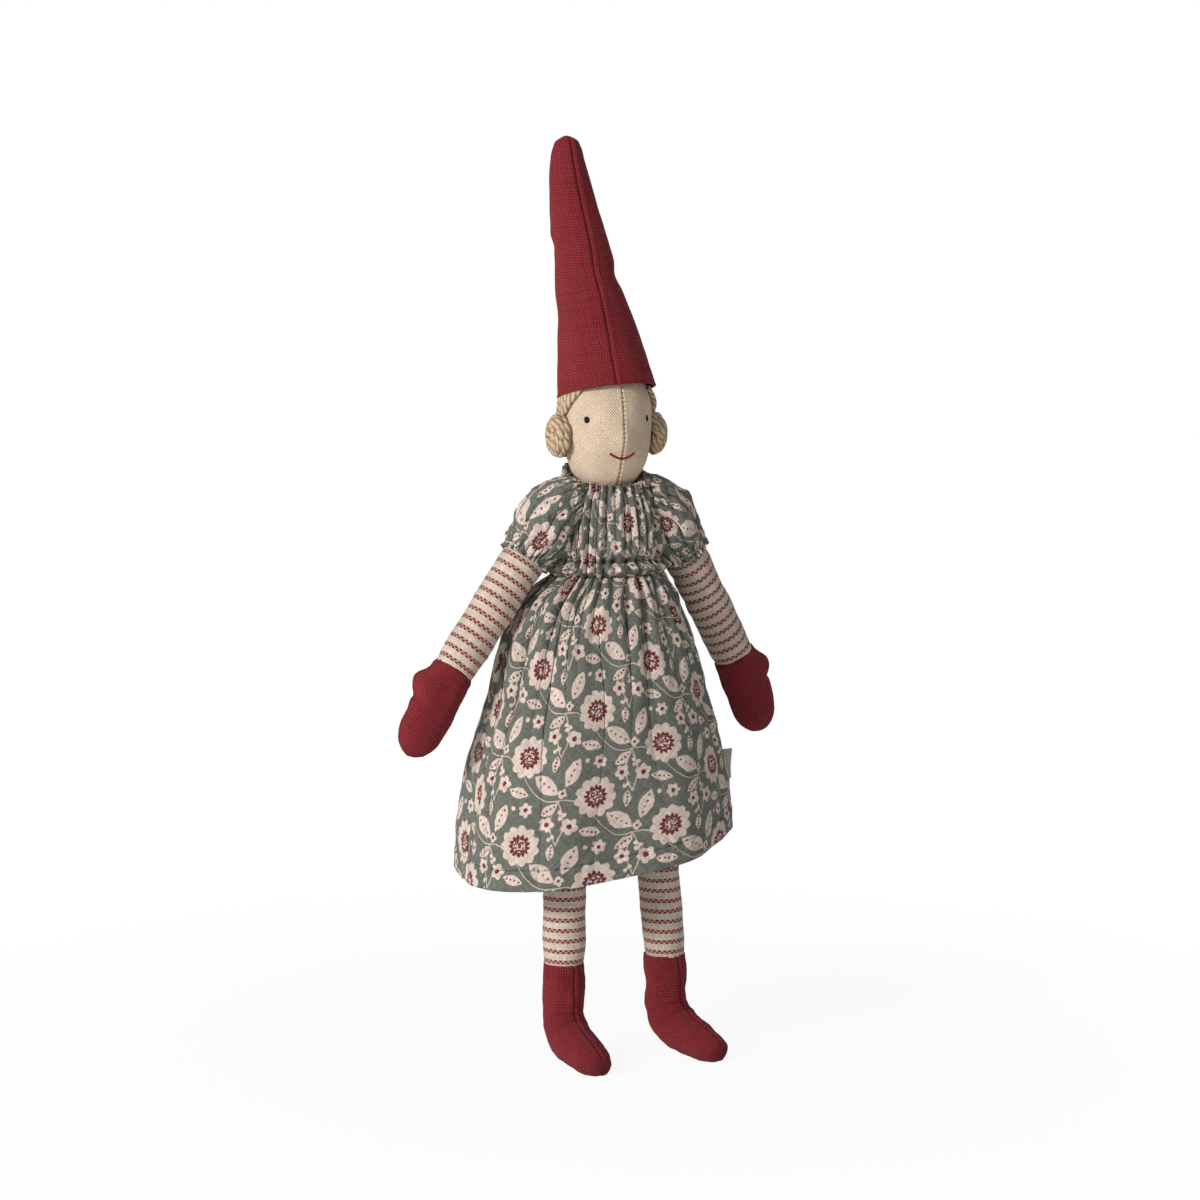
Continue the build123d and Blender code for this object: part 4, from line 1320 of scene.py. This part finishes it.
SLEEVE = 14.2                         # from the shoulder to the cuff's elastic
SLEEVE_FLAT = 112.0                   # width of its print round the sleeve
SLEEVE_MARKS = (0.0, 0.2, 0.42, 0.66, 0.86, 0.93, 1.0)          # share of the way to the cuff
SLEEVE_HIGH = (10.0, 11.8, 12.2, 11.7, 9.9, 9.0, 9.4)
SLEEVE_DEEP = (12.2, 13.2, 13.4, 12.6, 10.2, 9.2, 9.7)


def sleeve_frames(side, t):
    """Middle of the sleeve at shares t of its length, and its directions: up, ahead and along."""
    outwards = np.array([SIDES[side], 0.0, 0.0])
    up = np.array([0.0, 0.0, 1.0])
    shoulder, down, _, fore = arm_frame(side)
    cores = np.array([
        shoulder - outwards * 11.0 + up * 8.6,
        shoulder - outwards * 6.6 + up * 6.0,
        shoulder - outwards * 1.8 + up * 2.2,
        shoulder + down * 5.4 - outwards * 1.0,
        shoulder + down * (SLEEVE - 3.0),
        shoulder + down * (SLEEVE - 1.3),
        shoulder + down * (SLEEVE + 0.9),
    ])
    core = np.stack([flow(t, SLEEVE_MARKS, cores[:, k]) for k in range(3)], axis=1)
    turned = ease(t, 0.05, 0.72)[:, None]
    heading = unit(outwards * (1 - turned) + down * turned)
    ahead = unit(fore - heading * (heading @ fore)[:, None])
    aside = np.cross(ahead, heading)
    return core, aside * np.sign(aside @ up)[:, None], ahead, heading


def sleeve_grid(side):
    """Puff sleeve from the neckline over the shoulder to a gathered cuff."""
    sign = SIDES[side]
    t = np.linspace(0, 1, 120)
    core, aside, ahead, heading = sleeve_frames(side, t)
    turn = around(260)
    share = turn / (2 * PI)
    fine = gathers(share, 24, 110 + sign)[None]
    loose = gathers(share, 12, 120 + sign)[None]
    depth = 0.95 * fine * (hump(t, 0.92, 0.16) + 0.9 * hump(t, 0.0, 0.26))[:, None]
    depth = depth + 1.2 * loose * hump(t, 0.5, 0.3)[:, None]
    depth = depth + 0.6 * np.clip(fine, 0, 1) * hump(t, 1.0, 0.03)[:, None]
    high = flow(t, SLEEVE_MARKS, SLEEVE_HIGH)[:, None] + depth
    deep = flow(t, SLEEVE_MARKS, SLEEVE_DEEP)[:, None] + depth
    ring = aside[:, None] * (high * np.cos(turn))[..., None]
    ring = ring + ahead[:, None] * (deep * np.sin(turn))[..., None]
    grid = core[:, None] + ring
    grid = push(grid, core[:, None], 0.7 * relief(grid, 9.0, 130 + sign, 3))
    halfway = len(t) // 2
    clockwise = np.linalg.det(np.stack([aside[halfway], ahead[halfway], heading[halfway]])) > 0
    return grid[:, ::-1] if clockwise else grid


def make_sleeve(side):
    """The sleeve from the shoulder to the cuff, its place baked into its mesh."""
    grid = sleeve_grid(side)
    cloth = laid_out(grid, True)
    cloth[..., 0] *= SLEEVE_FLAT / cloth[..., 0].max()
    cloth += np.array([17.0 + 40 * (SIDES[side] + 1), 9.0])
    sleeve = surface(f"sleeve_cloth_{side}", grid, cloth, closed=True)
    finish_mesh(sleeve, "dress_cloth")
    thicken(sleeve, 0.45)
    shoulder, down, _, _ = arm_frame(side)
    start = placed(shoulder + down * 5.5)
    end = placed(shoulder + down * 15.0)
    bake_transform(sleeve)
    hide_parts(f"sleeve_{side}")


def make_cuff_elastic(side):
    """Elastic inside the cuff, round the arm."""
    shoulder, down, out, fore = arm_frame(side)
    spin = np.linspace(0, 2 * PI, 160)[:, None]
    band = shoulder + down * (SLEEVE - 1.2) + out * (CUFF_R * np.cos(spin)) + fore * (CUFF_R * np.sin(spin))
    elastic = tubes(f"cuff_elastic_{side}", [band], 0.35, "elastic", f"arm_{side}", 8, tuple(down))
    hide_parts(f"sleeve_elastic_{side}")


# --- Legs and boots -------------------------------------------------------------------------------------
def make_leg(side):
    """Striped cloth tube, stuffed, flat at the hip edge where it is sewn in."""
    sign = SIDES[side]
    points = mesh_points(f"leg_skin_{side}")
    low_z, high_z = points[:, 2].min(), points[:, 2].max()
    ankle = points[points[:, 2] < low_z + 6].mean(axis=0)
    hip = points[points[:, 2] > high_z - 6].mean(axis=0)
    z = np.linspace(high_z, BOOT_TOP - 0.5, 180)
    share = (z - ankle[2]) / (hip[2] - ankle[2])
    x = ankle[0] + (hip[0] - ankle[0]) * share
    y = ankle[1] + (hip[1] - ankle[1]) * share
    low_marks = (BOOT_TOP - 1, BOOT_TOP + 3, 90, high_z - 12)
    half_x = flow(z, (*low_marks, high_z), (7.6, 7.9, 8.0, 8.0, 8.4))
    half_y = flow(z, (*low_marks, high_z - 5, high_z), (7.6, 7.9, 8.0, 7.6, 4.8, 1.7))
    turn = around(120)
    core = points_of(x, y, z)[:, None]
    rim = points_of(half_x[:, None] * np.cos(turn), half_y[:, None] * np.sin(turn), 0.0)
    grid = core + rim
    grid = push(grid, core, 0.3 * relief(grid, 13.0, 140 + sign, 3) * ease(half_y, 1.5, 6)[:, None])
    cloth = laid_out(grid, True)
    cloth[..., 1] += 2.0
    leg = surface(f"leg_cloth_{side}", grid, cloth, closed=True, caps=(True, False))
    finish_mesh(leg, "striped_leg", f"leg_{side}")
    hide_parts(f"leg_skin_{side}", f"leg_stuffing_{side}")


# The boot's middle line runs down the ankle and forward along the foot; at each knot its place,
# half its width and half its depth.
BOOT_KNOTS = (0, 5, 14, 24, 33, 42, 50, 56.5, 60.0, 61.6)       # along the boot's middle line
BOOT_Y = (0, 0, 0.2, 0.4, -3.0, -10.5, -18.0, -24.4, -27.6, -29.0)
BOOT_DOWN = (0, 5, 14, 23, 30.6, 34.8, 37.2, 39.2, 40.2, 40.6)
BOOT_WIDE = (8.0, 8.3, 8.1, 8.2, 8.4, 8.2, 7.7, 6.2, 3.8, 0.2)
BOOT_DEEP = (8.0, 8.3, 8.2, 8.8, 9.4, 7.9, 6.7, 5.3, 3.3, 0.2)
BOOT_LEAN = {"left": 0.10, "right": 0.0}        # sideways lean of the foot below the ankle


def boot_place(side):
    """Middle of the ankle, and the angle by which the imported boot's toe turns out."""
    points = np.concatenate([mesh_points(f"boot_{part}_{side}") for part in ("inner", "outer")])
    ankle = points[points[:, 2] > BOOT_TOP - 4].mean(axis=0)
    reach = points[:, :2] - ankle[:2]
    toe = reach[np.linalg.norm(reach, axis=1) > 16].mean(axis=0)
    return ankle, np.arctan2(toe[0], -toe[1])


def boot_grid(side):
    """The boot from its top edge to its toe, before it is turned out, and its columns."""
    sign = SIDES[side]
    s = BOOT_KNOTS[-1] * (1 - (1 - np.linspace(0, 1, 190)) ** 1.25)
    wide = flow(s, BOOT_KNOTS, BOOT_WIDE)
    deep = flow(s, BOOT_KNOTS, BOOT_DEEP)
    down = flow(s, BOOT_KNOTS, BOOT_DOWN) * BOOT_TOP / (BOOT_TOP + SLACK)
    core = points_of(BOOT_LEAN[side] * down, flow(s, BOOT_KNOTS, BOOT_Y), BOOT_TOP - down)
    heading = unit(np.gradient(core, axis=0))
    side_way = np.array([1.0, 0.0, 0.0])
    fore = np.cross(heading, side_way)
    fore = fore * np.sign(fore @ np.array([0.0, -1.0, 0.3]))[:, None]
    turn = around(180)
    turn = turn + 0.3 * np.sin(2 * turn)
    ring = side_way * (wide[:, None] * np.cos(turn))[..., None]
    ring = ring + fore[:, None] * (deep[:, None] * -np.sin(turn))[..., None]
    grid = core[:, None] + ring
    edge = np.abs(np.cos(turn)) * wide[:, None]
    seam = (-0.5 * hump(edge, 0, 0.5) + 0.16 * hump(edge, 1.4, 0.9)) * ease(wide, 1, 5)[:, None]
    lumps = 0.36 * relief(grid, 11.0, 150 + sign, 3) * ease(wide, 0.5, 6)[:, None]
    instep = -0.35 * hump(s, 27.5, 3.0)[:, None] * ease(-np.sin(turn), 0.1, 0.9)
    instep = instep - 0.2 * hump(s, 23.0, 1.8)[:, None] * ease(-np.sin(turn), 0.2, 0.9)
    return push(grid, core[:, None], seam + lumps + instep), len(turn)


def make_boot(side):
    """Soft boot in two panels, with a seam down its front and its back."""
    ankle, yaw = boot_place(side)
    grid, cols = boot_grid(side)
    x, y = grid[..., 0].copy(), grid[..., 1].copy()
    grid[..., 0] = ankle[0] + x * np.cos(yaw) - y * np.sin(yaw)
    grid[..., 1] = ankle[1] + x * np.sin(yaw) + y * np.cos(yaw)
    ground = own((0, 0, 0))[2] + 0.05
    grid[..., 2] = np.maximum(grid[..., 2], ground)
    cloth = laid_out(grid, True)
    width = cloth[:, cols:, 0]
    quarter = cols // 4
    for name, towards in (("inner", -SIDES[side]), ("outer", SIDES[side])):
        first = -quarter if towards > 0 else quarter
        span = np.arange(first, first + 2 * quarter + 1)
        places = cloth[:, span % cols].copy()
        places[..., 0] -= (span < 0) * width      # keeps the print unbroken past the first column
        piece = surface(f"boot_cloth_{name}_{side}", grid[:, span % cols], places)
        finish_mesh(piece, "red_cloth", f"leg_{side}")
        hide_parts(f"boot_{name}_{side}")


# --- Studio --------------------------------------------------------------------------------------------
AZIMUTH = np.radians(-22.0)
ELEVATION = np.radians(7.0)
DISTANCE = 1.3
VIEW_WIDTH = 0.4655                   # metres across the picture at the doll
AIM_RIGHT = -0.0025
AIM_HEIGHT = 0.1806
SENSOR = 36.0                         # mm
LAMP_TARGET = Vector(ROOT + np.array([0, 0, 0.18]))
FLOOR_HALF = 30.0                     # far enough to fill every view down to the horizon
NEAR_DOLL = 0.10                      # floor fades to pure white between these distances
FAR_FROM_DOLL = 0.36
TOWARDS_CAMERA = np.array([np.sin(AZIMUTH), -np.cos(AZIMUTH), 0.0])
RIGHT = np.array([np.cos(AZIMUTH), np.sin(AZIMUTH), 0.0])
WHITE = (1.0, 1.0, 1.0, 1.0)


def make_camera():
    """Camera of the photo's view: a little to the doll's right and above."""
    scene = bpy.context.scene
    aim = Vector(ROOT + RIGHT * AIM_RIGHT + np.array([0, 0, AIM_HEIGHT]))
    offset = Vector(TOWARDS_CAMERA * np.cos(ELEVATION) + np.array([0, 0, np.sin(ELEVATION)]))
    camera = bpy.data.objects.new("camera", bpy.data.cameras.new("camera"))
    scene.collection.objects.link(camera)
    camera.location = aim + offset * DISTANCE
    camera.rotation_euler = (-offset).to_track_quat("-Z", "Y").to_euler()
    camera.data.sensor_width = SENSOR
    camera.data.lens = SENSOR * DISTANCE / VIEW_WIDTH
    camera.data.clip_end = 20.0
    scene.camera = camera


def make_lamp(name, across, ahead, high, size, power):
    """Round area lamp aimed at the doll; places in metres as the camera sees them."""
    light = bpy.data.lights.new(name, "AREA")
    light.shape = "DISK"
    light.size = size
    light.energy = power
    obj = bpy.data.objects.new(name, light)
    bpy.context.scene.collection.objects.link(obj)
    place = Vector(ROOT + RIGHT * across + TOWARDS_CAMERA * ahead + np.array([0, 0, high]))
    obj.location = place
    obj.rotation_euler = (LAMP_TARGET - place).to_track_quat("-Z", "Y").to_euler()


def emptied(owner):
    """The node tree of a world or material, with nothing in it."""
    owner.use_nodes = True
    owner.node_tree.nodes.clear()
    return owner.node_tree


def seen_straight(tree):
    """1 for rays that show the thing itself, 0 for light that only bounces off it."""
    ray = tree.nodes.new("ShaderNodeLightPath")
    seen = Field(tree, ray.outputs["Is Camera Ray"])
    for other in ("Is Glossy Ray", "Is Transmission Ray"):
        seen = seen.most(Field(tree, ray.outputs[other]))
    return seen


def shown_as(tree, share, first, second, out_kind):
    """End a node tree in a mix of two shaders."""
    choose = tree.nodes.new("ShaderNodeMixShader")
    out = tree.nodes.new(out_kind)
    tree.links.new(share.socket, choose.inputs[0])
    tree.links.new(first.outputs[0], choose.inputs[1])
    tree.links.new(second.outputs[0], choose.inputs[2])
    tree.links.new(choose.outputs[0], out.inputs[0])


def make_world():
    """Dim even light on the doll, and white where the world itself is seen."""
    world = bpy.data.worlds.new("studio")
    bpy.context.scene.world = world
    tree = emptied(world)
    ambient = tree.nodes.new("ShaderNodeBackground")
    ambient.inputs["Color"].default_value = (0.98, 0.99, 1.0, 1.0)
    ambient.inputs["Strength"].default_value = 0.33
    white = tree.nodes.new("ShaderNodeBackground")
    white.inputs["Color"].default_value = WHITE
    white.inputs["Strength"].default_value = 1.0
    shown_as(tree, seen_straight(tree), ambient, white, "ShaderNodeOutputWorld")


def make_floor():
    """White floor that keeps a faint shadow by the doll and is pure white farther off."""
    mesh = bpy.data.meshes.new("floor")
    corner_signs = ((-1, -1), (1, -1), (1, 1), (-1, 1))
    mesh.from_pydata([(FLOOR_HALF * x, FLOOR_HALF * y, 0) for x, y in corner_signs], [], [(0, 1, 2, 3)])
    floor = bpy.data.objects.new("floor", mesh)
    bpy.context.scene.collection.objects.link(floor)
    material = bpy.data.materials.new("floor")
    tree = emptied(material)
    matt = tree.nodes.new("ShaderNodeBsdfDiffuse")
    matt.inputs["Color"].default_value = (0.9, 0.9, 0.9, 1.0)
    glow = tree.nodes.new("ShaderNodeEmission")
    glow.inputs["Color"].default_value = WHITE
    glow.inputs["Strength"].default_value = 1.0
    place = tree.nodes.new("ShaderNodeTexCoord")
    split = tree.nodes.new("ShaderNodeSeparateXYZ")
    tree.links.new(place.outputs["Object"], split.inputs[0])
    x, y = Field(tree, split.outputs[0]), Field(tree, split.outputs[1])
    far = (x * x + y * y).root().rise(NEAR_DOLL, FAR_FROM_DOLL)
    share = seen_straight(tree) * (0.92 + 0.08 * far)
    shown_as(tree, share, matt, glow, "ShaderNodeOutputMaterial")
    mesh.materials.append(material)


def make_studio():
    bpy.context.scene.view_settings.view_transform = "Standard"
    make_camera()
    make_lamp("key", -0.95, 0.95, 0.66, 0.35, 18.0)
    make_lamp("fill", 0.8, 1.2, 0.12, 0.9, 1.8)
    make_world()
    make_floor()


def make_doll():
    dress_cad_nodes()
    make_head()
    for side in SIDES:
        make_eye(side)
    make_mouth()
    make_face_seam()
    make_hair()
    make_hat()
    make_torso()
    make_neck_thread()
    for side in SIDES:
        make_shoulder_thread(side)
    make_hip_cloth()
    make_bodice()
    make_skirt()
    make_dress_threads()
    make_tag()
    for side in SIDES:
        make_bun(side)
        make_arm(side)
        make_mitten(side)
        make_sleeve(side)
        make_cuff_elastic(side)
        make_leg(side)
        make_boot(side)


make_studio()
make_doll()
